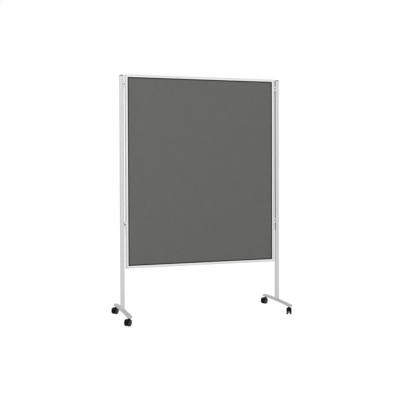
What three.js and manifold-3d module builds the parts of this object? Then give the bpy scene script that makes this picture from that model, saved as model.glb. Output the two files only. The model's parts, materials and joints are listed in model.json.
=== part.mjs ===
// A rolling partition: a felt pinboard in a slim aluminium frame, held between two slotted columns.
// Each column stands on an arched oval foot bar with two twin-wheel castors.
// Millimetres, +Z up. X runs along the board, -Y is the front. The origin is on the floor, midway
// between the columns. Every mesh is one separate piece of the real object.
import * as THREE from "three";
import { mergeVertices } from "three/addons/utils/BufferGeometryUtils.js";
import Module from "manifold-3d";

const wasm = await Module();
wasm.setup();

// ---- Driving dimensions -------------------------------------------------------------------------
const CLEARANCE = 0.3; // between pieces that seat on each other
const RUNNING_CLEARANCE = 0.2; // between a turning piece and its pin
const HIDDEN_OVERRUN = 5; // how far a cutter runs past the face that it opens

// Board and frame
const PANEL_WIDTH = 1250;
const PANEL_HEIGHT = 1500;
const PANEL_BOTTOM = 393;
const FRAME_FACE = 19; // the frame's width seen from the front
const FRAME_DEPTH = 22;
const FRAME_EDGE_ROUND = 9; // of the two outer edges
const LIP_THICKNESS = 1.7;
const CHANNEL_DEPTH = 10; // of the groove that holds the board
const CHAMBER_WALL = 1.6; // round the hollow behind the groove
const CHAMBER_WIDTH = 12;
const CORE_THICKNESS = 14;
const FELT_THICKNESS = 2;
const KEY_LEG = 60; // of the angle inside each corner of the frame

// Columns
const COLUMN_GAP = 11.5; // from the frame to each column
const COLUMN_WIDTH = 30;
const COLUMN_DEPTH = 36;
const COLUMN_ROUND = 9;
const COLUMN_WALL = 2;
const COLUMN_SHORTFALL = 13; // from the board's top down to the end of the column's tube
const SLOT_WIDTH = 14;
const CAP_HEIGHT = 8;
const CAP_SPIGOT = 12;
const BASE_PLUG_HEIGHT = 40;

// Tension locks, two on each side of the frame
const LOCK_DROP = 77; // from the board's top to the middle of the upper locks
const LOCK_SPACING = 1083; // from the upper locks to the lower ones
const BOARD_DROP = 70; // how far the board can be lowered before the slides meet the slots' ends
const LOCK_HEIGHT = 36;
const LOCK_DEPTH = 27;
const LOCK_TAB = 12; // how far the housing reaches over the frame's outer edge
const LOCK_ROUND = 3;
const SLIDE_HEIGHT = 24;
const SLIDE_HEAD_WIDTH = 22;
const SLIDE_HEAD_THICKNESS = 5;
const SCREW_OFFSET = 3.9; // from the frame's outer edge to the lock screw's axis
const SCREW_DIAMETER = 4;
const SCREW_HEAD_DIAMETER = 9.6;
const SCREW_HEAD_HEIGHT = 3.4;
const SCREW_SOCKET = 3; // across the flats
const DIMPLE_DEPTH = 1.6; // where the screw's cone presses the slide

// Feet
const FOOT_LENGTH = 520;
const FOOT_WIDTH = 40;
const FOOT_HEIGHT = 20;
const FOOT_WALL = 2;
const FOOT_CENTRE_HEIGHT = 73;
const FOOT_DROOP = 6; // how far the bar's ends hang below its middle
const FOOT_PLUG_LENGTH = 12; // the part of the end plug that shows
const FOOT_PLUG_SPIGOT = 10;
const BOLT_DIAMETER = 8;
const BOLT_HEAD_DIAMETER = 13;
const BOLT_HEAD_HEIGHT = 8;
const BOLT_GRIP = 34; // the bolt's length in the column's base plug

// Castors
const CASTOR_INSET = 27; // from the foot's end to the swivel axis
const CASTOR_TRAIL = 17.5; // from the swivel axis to the axle
const WHEEL_DIAMETER = 50;
const WHEEL_WIDTH = 13.5;
const WHEEL_GAP = 14; // between the twin wheels
const WHEEL_SHOULDER = 3.5;
const AXLE_DIAMETER = 8;
const STEM_DIAMETER = 10;
const STEM_FLANGE_DIAMETER = 17;
const SOCKET_DIAMETER = 12.8; // of the hood's stem socket between the wheels
const SOCKET_COLLAR_DIAMETER = 19;
const SOCKET_TOP = 55;
const SOCKET_DEPTH = 22;
const HOOD_GAP = 1.2; // from the tread to the inside of the hood
const HOOD_CROWN = 2.8; // the hood's thickness over its middle
const HOOD_WEB = 10; // the web between the wheels
const WEB_RADIUS = 21; // of its lower part
const WEB_BOTTOM = 12; // the height of its flat lower edge
const HOOD_HALF_WIDTH = 18.8;
const HOOD_START_ANGLE = 24; // degrees above the axle, at the trailing side
const HOOD_END_ANGLE = 174;
const PEDAL_WIDTH = 12.6;
const PEDAL_TIP_WIDTH = 24;
const PEDAL_THICKNESS = 2.4;
const PEDAL_TOP_ANGLE = 70; // the lever's upper end, in degrees above the axle
const PEDAL_TIP_ANGLE = 18;
const PEDAL_TIP_LIFT = 1.6; // of the tip's shoe above the lever's inner face
const PEDAL_TONGUE = 4.6; // the thickness of the tongue in the web's slot
const PIVOT_ANGLE = 66;
const PIVOT_RADIUS = 22.5; // from the axle to the pedal's pivot
const TRUNNION_DIAMETER = 3;
const PEDAL_HUB_DIAMETER = 6.4;

// How each castor has come to rest: the direction in which it trails, in degrees from +X.
const CASTORS = [
  { name: "front_left", side: -1, end: -1, heading: 222, braked: true },
  { name: "rear_left", side: -1, end: 1, heading: 221, braked: false },
  { name: "front_right", side: 1, end: -1, heading: 245, braked: true },
  { name: "rear_right", side: 1, end: 1, heading: 205, braked: false },
];

// ---- Places worked out from the driving dimensions ------------------------------------------------
const PANEL_MIDDLE = PANEL_BOTTOM + PANEL_HEIGHT / 2;
const COLUMN_X = PANEL_WIDTH / 2 + COLUMN_GAP + COLUMN_WIDTH / 2;
const COLUMN_TOP = PANEL_BOTTOM + PANEL_HEIGHT - COLUMN_SHORTFALL;
const UPPER_LOCK = PANEL_BOTTOM + PANEL_HEIGHT - LOCK_DROP;
const LOCK_LEVELS = { upper: UPPER_LOCK, lower: UPPER_LOCK - LOCK_SPACING };
const SLOT_BOTTOM = LOCK_LEVELS.lower - SLIDE_HEIGHT / 2 - BOARD_DROP;
const CASTOR_Y = FOOT_LENGTH / 2 - CASTOR_INSET;
const FOOT_TOP = FOOT_CENTRE_HEIGHT + FOOT_HEIGHT / 2;
const SIDES = { left: -1, right: 1 };

// ---- Materials ------------------------------------------------------------------------------------
function material(color, roughness, metalness) {
  return new THREE.MeshStandardMaterial({ color, roughness, metalness });
}
const MATERIALS = {
  aluminium: () => material(0xd5d6d6, 0.35, 0.9),
  silverPaint: () => material(0xc2c3c4, 0.45, 0.5),
  castZinc: () => material(0xe0e0de, 0.45, 0.4),
  felt: () => material(0x676765, 1, 0),
  fibreboard: () => material(0xa58b66, 0.9, 0),
  greyPlastic: () => material(0x8f9090, 0.5, 0),
  blackPlastic: () => material(0x121212, 0.4, 0),
  greyHub: () => material(0x3c3c3c, 0.5, 0),
  blackSteel: () => material(0x191919, 0.4, 0.6),
  brightSteel: () => material(0xb9bbbd, 0.25, 1),
};

// ---- Shape helpers --------------------------------------------------------------------------------
// A closed geometry as a solid that can be cut and joined.
function solid(geometry) {
  const bare = geometry.index ? geometry.toNonIndexed() : geometry.clone();
  bare.deleteAttribute("normal");
  bare.deleteAttribute("uv");
  const merged = mergeVertices(bare, 1e-3);
  return new wasm.Manifold(
    new wasm.Mesh({
      numProp: 3,
      vertProperties: merged.attributes.position.array,
      triVerts: new Uint32Array(merged.index.array),
    }),
  );
}

function geometryOf(made) {
  const mesh = made.getMesh();
  const geometry = new THREE.BufferGeometry();
  geometry.setAttribute("position", new THREE.BufferAttribute(mesh.vertProperties, 3));
  geometry.setIndex(new THREE.BufferAttribute(mesh.triVerts, 1));
  return geometry;
}

function cut(body, ...cutters) {
  return geometryOf(cutters.reduce((rest, cutter) => rest.subtract(solid(cutter)), solid(body)));
}

function join(...bodies) {
  return geometryOf(bodies.slice(1).reduce((sum, body) => sum.add(solid(body)), solid(bodies[0])));
}

function common(a, b) {
  return geometryOf(solid(a).intersect(solid(b)));
}

// A rectangle about (x, y) with round corners, as a list of points that runs anticlockwise.
function roundedRectangle(width, height, round, steps = 4, x = 0, y = 0) {
  const points = [];
  for (let corner = 0; corner < 4; corner++) {
    const sx = corner === 0 || corner === 3 ? 1 : -1;
    const sy = corner < 2 ? 1 : -1;
    for (let i = 0; i <= steps; i++) {
      const angle = ((corner + i / steps) * Math.PI) / 2;
      points.push(
        new THREE.Vector2(
          x + sx * (width / 2 - round) + round * Math.cos(angle),
          y + sy * (height / 2 - round) + round * Math.sin(angle),
        ),
      );
    }
  }
  return points;
}

// A prism on an outline in XY, from z = from to z = to, with any holes.
function prism(outline, from, to, holes = []) {
  const shape = new THREE.Shape(outline);
  shape.holes = holes.map((points) => new THREE.Path(points));
  const geometry = new THREE.ExtrudeGeometry(shape, { depth: to - from, bevelEnabled: false });
  return geometry.translate(0, 0, from);
}

function box(x0, x1, y0, y1, z0, z1) {
  const geometry = new THREE.BoxGeometry(x1 - x0, y1 - y0, z1 - z0);
  return geometry.translate((x0 + x1) / 2, (y0 + y1) / 2, (z0 + z1) / 2);
}

// A turned piece about +Z from [radius, height] pairs that start and end on the axis, lowest first.
function turned(profile, segments = 16) {
  const points = profile.map(([radius, height]) => new THREE.Vector2(radius, height));
  return new THREE.LatheGeometry(points, segments).rotateX(Math.PI / 2);
}

function cylinder(diameter, from, to, segments = 16) {
  const r = diameter / 2;
  return turned([[0, from], [r, from], [r, to], [0, to]], segments);
}

// A skin through closed rings of equal length, closed flat at both ends. Rings run anticlockwise
// seen from the end that the list runs towards.
function loft(rings) {
  const count = rings[0].length;
  const position = rings.flat().flatMap((p) => [p.x, p.y, p.z]);
  const index = [];
  for (let k = 0; k + 1 < rings.length; k++) {
    for (let i = 0; i < count; i++) {
      const a = k * count + i;
      const b = k * count + ((i + 1) % count);
      index.push(a, b, b + count, a, b + count, a + count);
    }
  }
  const last = (rings.length - 1) * count;
  for (let i = 1; i + 1 < count; i++) {
    index.push(0, i + 1, i);
    index.push(last, last + i, last + i + 1);
  }
  const geometry = new THREE.BufferGeometry();
  geometry.setAttribute("position", new THREE.Float32BufferAttribute(position, 3));
  geometry.setIndex(index);
  return geometry;
}

// ---- The frame and the board ------------------------------------------------------------------------
// The frame's section: x is outward from the lip's inner edge, y is depth. A groove for the board is
// open at x = 0, and a hollow chamber lies behind it for the corner keys.
function frameSection() {
  const half = FRAME_DEPTH / 2;
  const groove = half - LIP_THICKNESS;
  const outer = [];
  for (const side of [-1, 1]) {
    for (let i = 0; i <= 5; i++) {
      const angle = side < 0 ? (i / 5 - 1) * (Math.PI / 2) : (i / 5) * (Math.PI / 2);
      outer.push(
        new THREE.Vector2(
          FRAME_FACE - FRAME_EDGE_ROUND + FRAME_EDGE_ROUND * Math.cos(angle),
          side * (half - FRAME_EDGE_ROUND) + FRAME_EDGE_ROUND * Math.sin(angle),
        ),
      );
    }
  }
  return [
    new THREE.Vector2(0, -half),
    ...outer,
    new THREE.Vector2(0, half),
    new THREE.Vector2(0, groove),
    new THREE.Vector2(CHANNEL_DEPTH, groove),
    new THREE.Vector2(CHANNEL_DEPTH, -groove),
    new THREE.Vector2(0, -groove),
  ];
}

const CHAMBER_INNER = CHANNEL_DEPTH + CHAMBER_WALL;
const CHAMBER_OUTER = FRAME_FACE - CHAMBER_WALL;

function chamberSection() {
  const middle = (CHAMBER_INNER + CHAMBER_OUTER) / 2;
  return roundedRectangle(CHAMBER_OUTER - CHAMBER_INNER, CHAMBER_WIDTH, CLEARANCE, 1, middle, 0);
}

// One frame rail with both ends mitred, standing along Z, its outer face towards +X.
// length is its outer length and reach is from the board's middle to its outer face.
function frameRail(length, reach) {
  const rail = prism(frameSection(), 0, 1, [chamberSection()]);
  const place = rail.attributes.position;
  for (let i = 0; i < place.count; i++) {
    const outward = place.getX(i);
    const end = place.getZ(i) > 0.5 ? 1 : -1;
    const along = length / 2 - (FRAME_FACE - outward) - CLEARANCE / 2;
    place.setXYZ(i, reach - FRAME_FACE + outward, place.getY(i), end * along);
  }
  return rail;
}

// The angle that joins two rails inside their chambers at one corner.
function cornerKey(sx, sz) {
  const middle = (CHAMBER_INNER + CHAMBER_OUTER) / 2 - FRAME_FACE;
  const half = (CHAMBER_OUTER - CHAMBER_INNER) / 2 - CLEARANCE;
  const x = PANEL_WIDTH / 2 + middle;
  const z = PANEL_HEIGHT / 2 + middle;
  const outline = [
    [x + half, z + half - 2],
    [x + half, z - KEY_LEG],
    [x - half, z - KEY_LEG],
    [x - half, z - half],
    [x - KEY_LEG, z - half],
    [x - KEY_LEG, z + half],
    [x + half - 2, z + half],
  ].map(([px, pz]) => new THREE.Vector2(sx * px, sz * pz));
  const thick = CHAMBER_WIDTH / 2 - CLEARANCE;
  return prism(outline, -thick, thick).rotateX(Math.PI / 2);
}

// A flat sheet of the board, from y = from to y = to. Its edges stop short of the groove's floor.
function boardSheet(from, to) {
  const inset = FRAME_FACE - CHANNEL_DEPTH + CLEARANCE;
  const x = PANEL_WIDTH / 2 - inset;
  const z = PANEL_HEIGHT / 2 - inset;
  return box(-x, x, from, to, -z, z);
}

// ---- The tension locks ------------------------------------------------------------------------------
// These are drawn for the right side, with x counted from the frame's outer edge towards the column,
// and z from the lock's middle.
function lockHousing() {
  const outer = COLUMN_GAP - CLEARANCE;
  const body = prism(
    roundedRectangle(outer + LOCK_TAB, LOCK_DEPTH, LOCK_ROUND, 3, (outer - LOCK_TAB) / 2, 0),
    -LOCK_HEIGHT / 2,
    LOCK_HEIGHT / 2,
  );
  const seat = roundedRectangle(
    2 * (FRAME_FACE + CLEARANCE),
    FRAME_DEPTH + 2 * CLEARANCE,
    FRAME_EDGE_ROUND + CLEARANCE,
    5,
    -FRAME_FACE,
    0,
  );
  const saddle = prism(seat, -LOCK_HEIGHT, LOCK_HEIGHT);
  const tongueHole = box(
    TONGUE_END - CLEARANCE,
    COLUMN_GAP + HIDDEN_OVERRUN,
    -TONGUE_HALF - CLEARANCE,
    TONGUE_HALF + CLEARANCE,
    -SLIDE_HEIGHT / 2 - CLEARANCE,
    SLIDE_HEIGHT / 2 + CLEARANCE,
  );
  const screwHole = cylinder(SCREW_DIAMETER + 2 * CLEARANCE, 0, LOCK_DEPTH)
    .rotateX(Math.PI / 2)
    .translate(SCREW_OFFSET, 0, 0);
  return cut(body, saddle, tongueHole, screwHole);
}

const TONGUE_HALF = SLOT_WIDTH / 2 - CLEARANCE;
const TONGUE_END = 1.2; // how far the tongue stops short of the frame's outer edge

// The T-shaped slide: its head runs inside the column, and its tongue comes out through the slot.
function lockSlide() {
  const headNear = COLUMN_GAP + COLUMN_WALL + 2 * CLEARANCE;
  const headFar = headNear + SLIDE_HEAD_THICKNESS;
  const outline = [
    [TONGUE_END, -TONGUE_HALF],
    [headNear, -TONGUE_HALF],
    [headNear, -SLIDE_HEAD_WIDTH / 2 + 1],
    [headNear + 1, -SLIDE_HEAD_WIDTH / 2],
    [headFar, -SLIDE_HEAD_WIDTH / 2],
    [headFar, SLIDE_HEAD_WIDTH / 2],
    [headNear + 1, SLIDE_HEAD_WIDTH / 2],
    [headNear, SLIDE_HEAD_WIDTH / 2 - 1],
    [headNear, TONGUE_HALF],
    [TONGUE_END, TONGUE_HALF],
  ].map(([x, y]) => new THREE.Vector2(x, y));
  const body = prism(outline, -SLIDE_HEIGHT / 2, SLIDE_HEIGHT / 2);
  const tip = SCREW_DIAMETER / 2 + CLEARANCE;
  const dimple = turned([
    [0, -DIMPLE_DEPTH - CLEARANCE],
    [tip - DIMPLE_DEPTH, -DIMPLE_DEPTH - CLEARANCE],
    [tip, 0],
    [tip, HIDDEN_OVERRUN],
    [0, HIDDEN_OVERRUN],
  ]);
  dimple.rotateX(Math.PI / 2).translate(SCREW_OFFSET, -TONGUE_HALF, 0);
  return cut(body, dimple);
}

// The lock screw: a button head with a hexagon socket, and a cone that presses the slide.
function lockScrew() {
  const r = SCREW_DIAMETER / 2;
  const head = SCREW_HEAD_DIAMETER / 2;
  const seat = LOCK_DEPTH / 2;
  const tip = TONGUE_HALF - DIMPLE_DEPTH;
  const body = turned([
    [0, tip],
    [r - DIMPLE_DEPTH, tip],
    [r, TONGUE_HALF],
    [r, seat],
    [head, seat],
    [head, seat + SCREW_HEAD_HEIGHT * 0.45],
    [head * 0.86, seat + SCREW_HEAD_HEIGHT * 0.8],
    [head * 0.62, seat + SCREW_HEAD_HEIGHT],
    [0, seat + SCREW_HEAD_HEIGHT],
  ]);
  const socket = turned(
    [[0, 0], [SCREW_SOCKET / Math.sqrt(3), 0], [SCREW_SOCKET / Math.sqrt(3), 9], [0, 9]],
    6,
  ).translate(0, 0, seat + SCREW_HEAD_HEIGHT - 2);
  return new THREE.BufferGeometry()
    .copy(cut(body, socket))
    .rotateX(Math.PI / 2)
    .translate(SCREW_OFFSET, 0, 0);
}

// ---- The columns ------------------------------------------------------------------------------------
// Drawn about the column's own axis, with the slot towards -X.
function columnTube() {
  const inner = roundedRectangle(
    COLUMN_WIDTH - 2 * COLUMN_WALL,
    COLUMN_DEPTH - 2 * COLUMN_WALL,
    COLUMN_ROUND - COLUMN_WALL,
  );
  const outline = roundedRectangle(COLUMN_WIDTH, COLUMN_DEPTH, COLUMN_ROUND);
  const tube = prism(outline, FOOT_CENTRE_HEIGHT, COLUMN_TOP, [inner]);
  const slot = box(
    -COLUMN_WIDTH,
    0,
    -SLOT_WIDTH / 2,
    SLOT_WIDTH / 2,
    SLOT_BOTTOM,
    COLUMN_TOP + HIDDEN_OVERRUN,
  );
  const cope = footSkin(CLEARANCE, FOOT_LENGTH / 2, 4);
  return cut(tube, slot, cope);
}

// The moulded cap: a low dome over a spigot that fills the tube's mouth.
function columnCap() {
  const rings = [];
  for (let i = 0; i <= 4; i++) {
    const angle = ((i / 4) * Math.PI) / 2;
    const inset = (COLUMN_ROUND - 1) * (1 - Math.cos(angle));
    const outline = roundedRectangle(
      COLUMN_WIDTH - 2 * inset,
      COLUMN_DEPTH - 2 * inset,
      COLUMN_ROUND - inset,
    );
    const height = CAP_HEIGHT * (0.25 + 0.75 * Math.sin(angle));
    if (i === 0) rings.push(outline.map((p) => new THREE.Vector3(p.x, p.y, COLUMN_TOP)));
    rings.push(outline.map((p) => new THREE.Vector3(p.x, p.y, COLUMN_TOP + height)));
  }
  const spigot = prism(
    roundedRectangle(
      COLUMN_WIDTH - 2 * (COLUMN_WALL + CLEARANCE),
      COLUMN_DEPTH - 2 * (COLUMN_WALL + CLEARANCE),
      COLUMN_ROUND - COLUMN_WALL - CLEARANCE,
    ),
    COLUMN_TOP - CAP_SPIGOT,
    COLUMN_TOP + 1,
  );
  return join(loft(rings), spigot);
}

// The insert in the column's foot end, with the hole that takes the bolt.
function basePlug() {
  const outline = roundedRectangle(
    COLUMN_WIDTH - 2 * (COLUMN_WALL + CLEARANCE),
    COLUMN_DEPTH - 2 * (COLUMN_WALL + CLEARANCE),
    COLUMN_ROUND - COLUMN_WALL - CLEARANCE,
  );
  const bottom = FOOT_TOP + CLEARANCE;
  const body = prism(outline, bottom, bottom + BASE_PLUG_HEIGHT);
  return cut(body, cylinder(BOLT_DIAMETER + 2 * CLEARANCE, bottom - 1, bottom + BOLT_GRIP + 1));
}

// ---- The feet ---------------------------------------------------------------------------------------
// The bar's middle line hangs down towards its ends.
function footLine(y) {
  return FOOT_CENTRE_HEIGHT - FOOT_DROOP * Math.pow(Math.abs(y) / (FOOT_LENGTH / 2), 4);
}

// The flattened oval section at y, grown by grow and drawn in by scale. Clockwise seen from -Y,
// which is anticlockwise seen from +Y.
function footRing(y, grow, scale = 1, points = 20) {
  const ring = [];
  for (let i = 0; i < points; i++) {
    const angle = -((i + 0.5) / points) * 2 * Math.PI;
    const c = Math.cos(angle);
    const s = Math.sin(angle);
    const x = Math.sign(c) * Math.pow(Math.abs(c), 0.8) * (FOOT_WIDTH / 2 + grow) * scale;
    const z = Math.sign(s) * Math.pow(Math.abs(s), 0.8) * (FOOT_HEIGHT / 2 + grow) * scale;
    ring.push(new THREE.Vector3(x, y, footLine(y) + z));
  }
  return ring;
}

function footSkin(grow, reach, steps = 10) {
  const rings = [];
  for (let i = 0; i <= steps; i++) rings.push(footRing((i / steps - 0.5) * 2 * reach, grow));
  return loft(rings);
}

const FOOT_TUBE_REACH = FOOT_LENGTH / 2 - FOOT_PLUG_LENGTH;

function footBar() {
  const outside = footSkin(0, FOOT_TUBE_REACH);
  const inside = footSkin(-FOOT_WALL, FOOT_TUBE_REACH + 1);
  const boltHole = cylinder(BOLT_DIAMETER + 2 * CLEARANCE, FOOT_CENTRE_HEIGHT, FOOT_TOP + 1);
  const headHole = cylinder(
    BOLT_HEAD_DIAMETER + 4 * CLEARANCE,
    FOOT_CENTRE_HEIGHT - FOOT_HEIGHT,
    FOOT_CENTRE_HEIGHT,
  );
  const stemHoles = [-1, 1].map((end) =>
    cylinder(STEM_DIAMETER + 2 * CLEARANCE, 0, footLine(CASTOR_Y)).translate(0, end * CASTOR_Y, 0),
  );
  return cut(outside, inside, boltHole, headHole, ...stemHoles);
}

// The end plug: a rounded nose that carries on the bar's outline, and a spigot inside the bar.
function footPlug() {
  const rings = [];
  const steps = 5;
  for (let i = 0; i <= steps; i++) {
    const angle = ((i / steps) * Math.PI) / 2;
    const y = FOOT_TUBE_REACH + CLEARANCE / 2 + (FOOT_PLUG_LENGTH - CLEARANCE / 2) * Math.sin(angle);
    rings.push(footRing(y, 0, 0.35 + 0.65 * Math.sqrt(Math.cos(angle) * 0.999 + 0.001)));
  }
  const from = FOOT_TUBE_REACH - FOOT_PLUG_SPIGOT;
  const spigot = [from, FOOT_TUBE_REACH + 1].map((y) => footRing(y, -FOOT_WALL - CLEARANCE));
  return join(loft(rings), loft(spigot));
}

// The socket-head bolt that holds the column, from inside the foot bar up into the base plug.
function footBolt() {
  const seat = FOOT_TOP - FOOT_WALL - 2 * CLEARANCE; // the bar's ceiling curves down
  const r = BOLT_DIAMETER / 2;
  const head = BOLT_HEAD_DIAMETER / 2;
  const body = turned([
    [0, seat - BOLT_HEAD_HEIGHT],
    [head, seat - BOLT_HEAD_HEIGHT],
    [head, seat],
    [r, seat],
    [r, FOOT_TOP + BOLT_GRIP - 1],
    [r - 1, FOOT_TOP + BOLT_GRIP],
    [0, FOOT_TOP + BOLT_GRIP],
  ]);
  const socket = turned([[0, -1], [3.5, -1], [3.5, 4], [0, 4]], 6);
  return cut(body, socket.translate(0, 0, seat - BOLT_HEAD_HEIGHT));
}

// ---- The castors --------------------------------------------------------------------------------------
// Drawn with the swivel axis on Z, the floor at z = 0 and the axle towards +X.
const WHEEL_RADIUS = WHEEL_DIAMETER / 2;
const HOOD_INNER = WHEEL_RADIUS + HOOD_GAP;

// A point at a radius and an angle about the axle, in the castor's own X and Z.
function aboutAxle(radius, degrees) {
  const angle = THREE.MathUtils.degToRad(degrees);
  return new THREE.Vector2(
    CASTOR_TRAIL + radius * Math.cos(angle),
    WHEEL_RADIUS + radius * Math.sin(angle),
  );
}

function arcAboutAxle(radius, from, to, steps) {
  return Array.from({ length: steps + 1 }, (_, i) =>
    aboutAxle(radius, from + ((to - from) * i) / steps),
  );
}

// A prism on an outline in the castor's X and Z, centred on Y.
function sidePrism(outline, width) {
  return prism(outline, -width / 2, width / 2).rotateX(Math.PI / 2);
}

// The hood's crown: turned about the axle, thickest in the middle, and cut off above the axle.
function hoodCrown() {
  const profile = [];
  const steps = 8;
  for (let i = 0; i <= steps; i++) {
    const y = HOOD_HALF_WIDTH * (-1 + (2 * i) / steps);
    const bulge = Math.sqrt(1 - Math.pow(y / (HOOD_HALF_WIDTH + 0.6), 2));
    profile.push(new THREE.Vector2(HOOD_INNER + 0.6 + (HOOD_CROWN - 0.6) * bulge, y));
  }
  profile.push(new THREE.Vector2(HOOD_INNER, HOOD_HALF_WIDTH));
  profile.push(new THREE.Vector2(HOOD_INNER, -HOOD_HALF_WIDTH));
  profile.push(profile[0].clone());
  const ring = new THREE.LatheGeometry(profile, 32).translate(CASTOR_TRAIL, 0, 0);
  ring.translate(0, 0, WHEEL_RADIUS);
  const reach = 2 * WHEEL_RADIUS;
  const wedge = sidePrism(
    [
      aboutAxle(0, 0),
      ...arcAboutAxle(reach, HOOD_START_ANGLE, HOOD_END_ANGLE, 4),
    ],
    2 * WHEEL_DIAMETER,
  );
  return common(ring, wedge);
}

// The web between the wheels: a disc with a flat lower edge, and a fan that joins it to the crown.
// On a braked castor the fan's trailing part is left out, so that the pedal's lever can swing in.
function hoodWeb(braked) {
  const rim = HOOD_INNER + 0.6;
  const dip = THREE.MathUtils.radToDeg(Math.asin((WHEEL_RADIUS - WEB_BOTTOM) / WEB_RADIUS));
  const fanStart = braked ? PIVOT_ANGLE - 6 : HOOD_START_ANGLE;
  return sidePrism(
    [
      ...arcAboutAxle(WEB_RADIUS, -dip, fanStart, 6),
      ...arcAboutAxle(rim, fanStart, HOOD_END_ANGLE, 10),
      ...arcAboutAxle(WEB_RADIUS, HOOD_END_ANGLE, 180 + dip, 4),
    ],
    HOOD_WEB,
  );
}

function hoodSocket() {
  const r = SOCKET_DIAMETER / 2;
  const collar = SOCKET_COLLAR_DIAMETER / 2;
  const collarBottom = SOCKET_TOP - 5.5;
  return turned([
    [0, SOCKET_TOP - SOCKET_DEPTH - 3],
    [r, SOCKET_TOP - SOCKET_DEPTH - 1],
    [r, collarBottom - 2],
    [collar, collarBottom],
    [collar, SOCKET_TOP - 1],
    [collar - 1, SOCKET_TOP],
    [0, SOCKET_TOP],
  ]);
}

function castorHood(braked) {
  const stemBore = cylinder(
    STEM_DIAMETER + 2 * RUNNING_CLEARANCE,
    SOCKET_TOP - SOCKET_DEPTH,
    SOCKET_TOP + 1,
  );
  const axleBore = onAxle(cylinder(AXLE_DIAMETER + 2 * CLEARANCE, -WHEEL_GAP, WHEEL_GAP));
  const clearWheels = [-1, 1].map((side) => {
    const edge = WHEEL_GAP / 2 - 0.6;
    const disc = cylinder(2 * (HOOD_INNER - 0.05), edge, edge + 2 * WHEEL_WIDTH, 32);
    return onAxle(disc.rotateX(side > 0 ? 0 : Math.PI));
  });
  const body = join(hoodCrown(), hoodWeb(braked), hoodSocket());
  const cutters = [stemBore, axleBore, ...clearWheels];
  if (braked) cutters.push(...pedalOpenings());
  return cut(body, ...cutters);
}

// Turns a piece drawn about Z so that it lies on the axle.
function onAxle(geometry) {
  return geometry.rotateX(Math.PI / 2).translate(CASTOR_TRAIL, 0, WHEEL_RADIUS);
}

function crossPin(diameter, width, radius, degrees) {
  const centre = aboutAxle(radius, degrees);
  const pin = cylinder(diameter, -width / 2, width / 2, 12).rotateX(Math.PI / 2);
  return pin.translate(centre.x, 0, centre.y);
}

// What the pedal needs: a notch in the crown for its lever and a wider one for its tip, and a slot
// and a pivot hole in the web.
function pedalOpenings() {
  const sector = (width, radius, from, to) =>
    sidePrism(
      [...arcAboutAxle(radius, from, to, 4), ...arcAboutAxle(2 * WHEEL_RADIUS, to, from, 4)],
      width + 4 * CLEARANCE,
    );
  const bottom = 0;
  return [
    sector(PEDAL_WIDTH, HOOD_INNER - 2, bottom, PIVOT_ANGLE - 6),
    sector(PEDAL_WIDTH, HOOD_INNER + 0.6, PIVOT_ANGLE - 8, PEDAL_TOP_ANGLE + 2.5),
    sector(PEDAL_TIP_WIDTH, HOOD_INNER - 2, bottom, PEDAL_TIP_ANGLE + 13),
    sector(PEDAL_TONGUE, PIVOT_RADIUS, PIVOT_ANGLE - 12, PIVOT_ANGLE + 10),
    crossPin(PEDAL_HUB_DIAMETER + 4 * CLEARANCE, PEDAL_TONGUE + 4 * CLEARANCE, PIVOT_RADIUS, PIVOT_ANGLE),
    crossPin(TRUNNION_DIAMETER + 2 * RUNNING_CLEARANCE, WHEEL_GAP, PIVOT_RADIUS, PIVOT_ANGLE),
  ];
}

// The brake pedal: a curved lever over the web, a wide tip for the shoe, and a tongue that hangs in
// the web's slot on two small trunnions.
function brakePedal() {
  const inner = HOOD_INNER + 1.6;
  const outer = inner + PEDAL_THICKNESS;
  const lever = sidePrism(
    [
      ...arcAboutAxle(inner, PEDAL_TIP_ANGLE, PEDAL_TOP_ANGLE, 6),
      ...arcAboutAxle(outer, PEDAL_TOP_ANGLE, PEDAL_TIP_ANGLE, 6),
    ],
    PEDAL_WIDTH,
  );
  const tip = sidePrism(
    [
      aboutAxle(outer + 2.2, PEDAL_TIP_ANGLE - 6),
      aboutAxle(outer + 2.2, PEDAL_TIP_ANGLE - 1),
      aboutAxle(outer - 0.2, PEDAL_TIP_ANGLE + 9),
      aboutAxle(inner + PEDAL_TIP_LIFT, PEDAL_TIP_ANGLE + 6),
      aboutAxle(inner + PEDAL_TIP_LIFT, PEDAL_TIP_ANGLE - 5),
    ],
    PEDAL_TIP_WIDTH,
  );
  const tongue = sidePrism(
    [
      aboutAxle(inner + 1, PIVOT_ANGLE - 6),
      aboutAxle(inner + 1, PIVOT_ANGLE + 3),
      aboutAxle(PIVOT_RADIUS, PIVOT_ANGLE + 7),
      aboutAxle(PIVOT_RADIUS, PIVOT_ANGLE - 7),
    ],
    PEDAL_TONGUE,
  );
  const hub = crossPin(PEDAL_HUB_DIAMETER, PEDAL_TONGUE, PIVOT_RADIUS, PIVOT_ANGLE);
  const trunnions = crossPin(TRUNNION_DIAMETER, HOOD_WEB - 2 * CLEARANCE, PIVOT_RADIUS, PIVOT_ANGLE);
  return join(lever, tip, tongue, hub, trunnions);
}

// One wheel, with its inner face at y = 0 and its hub cap at the outer face. The bore is blind.
function castorWheel() {
  const bore = AXLE_DIAMETER / 2 + RUNNING_CLEARANCE;
  const face = WHEEL_WIDTH;
  const rim = WHEEL_RADIUS;
  const shoulder = WHEEL_SHOULDER;
  return turned(
    [
      [0, face - 3],
      [bore, face - 3],
      [bore, 0],
      [bore + 4, 0],
      [bore + 4.6, 3],
      [rim - 5, 3],
      [rim - 4, 0],
      [rim, 0],
      [rim, face - shoulder],
      [rim - shoulder * 0.3, face - shoulder * 0.3],
      [rim - shoulder, face],
      [rim - shoulder - 3, face - 2],
      [0, face - 0.8],
    ],
    22,
  );
}

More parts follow.
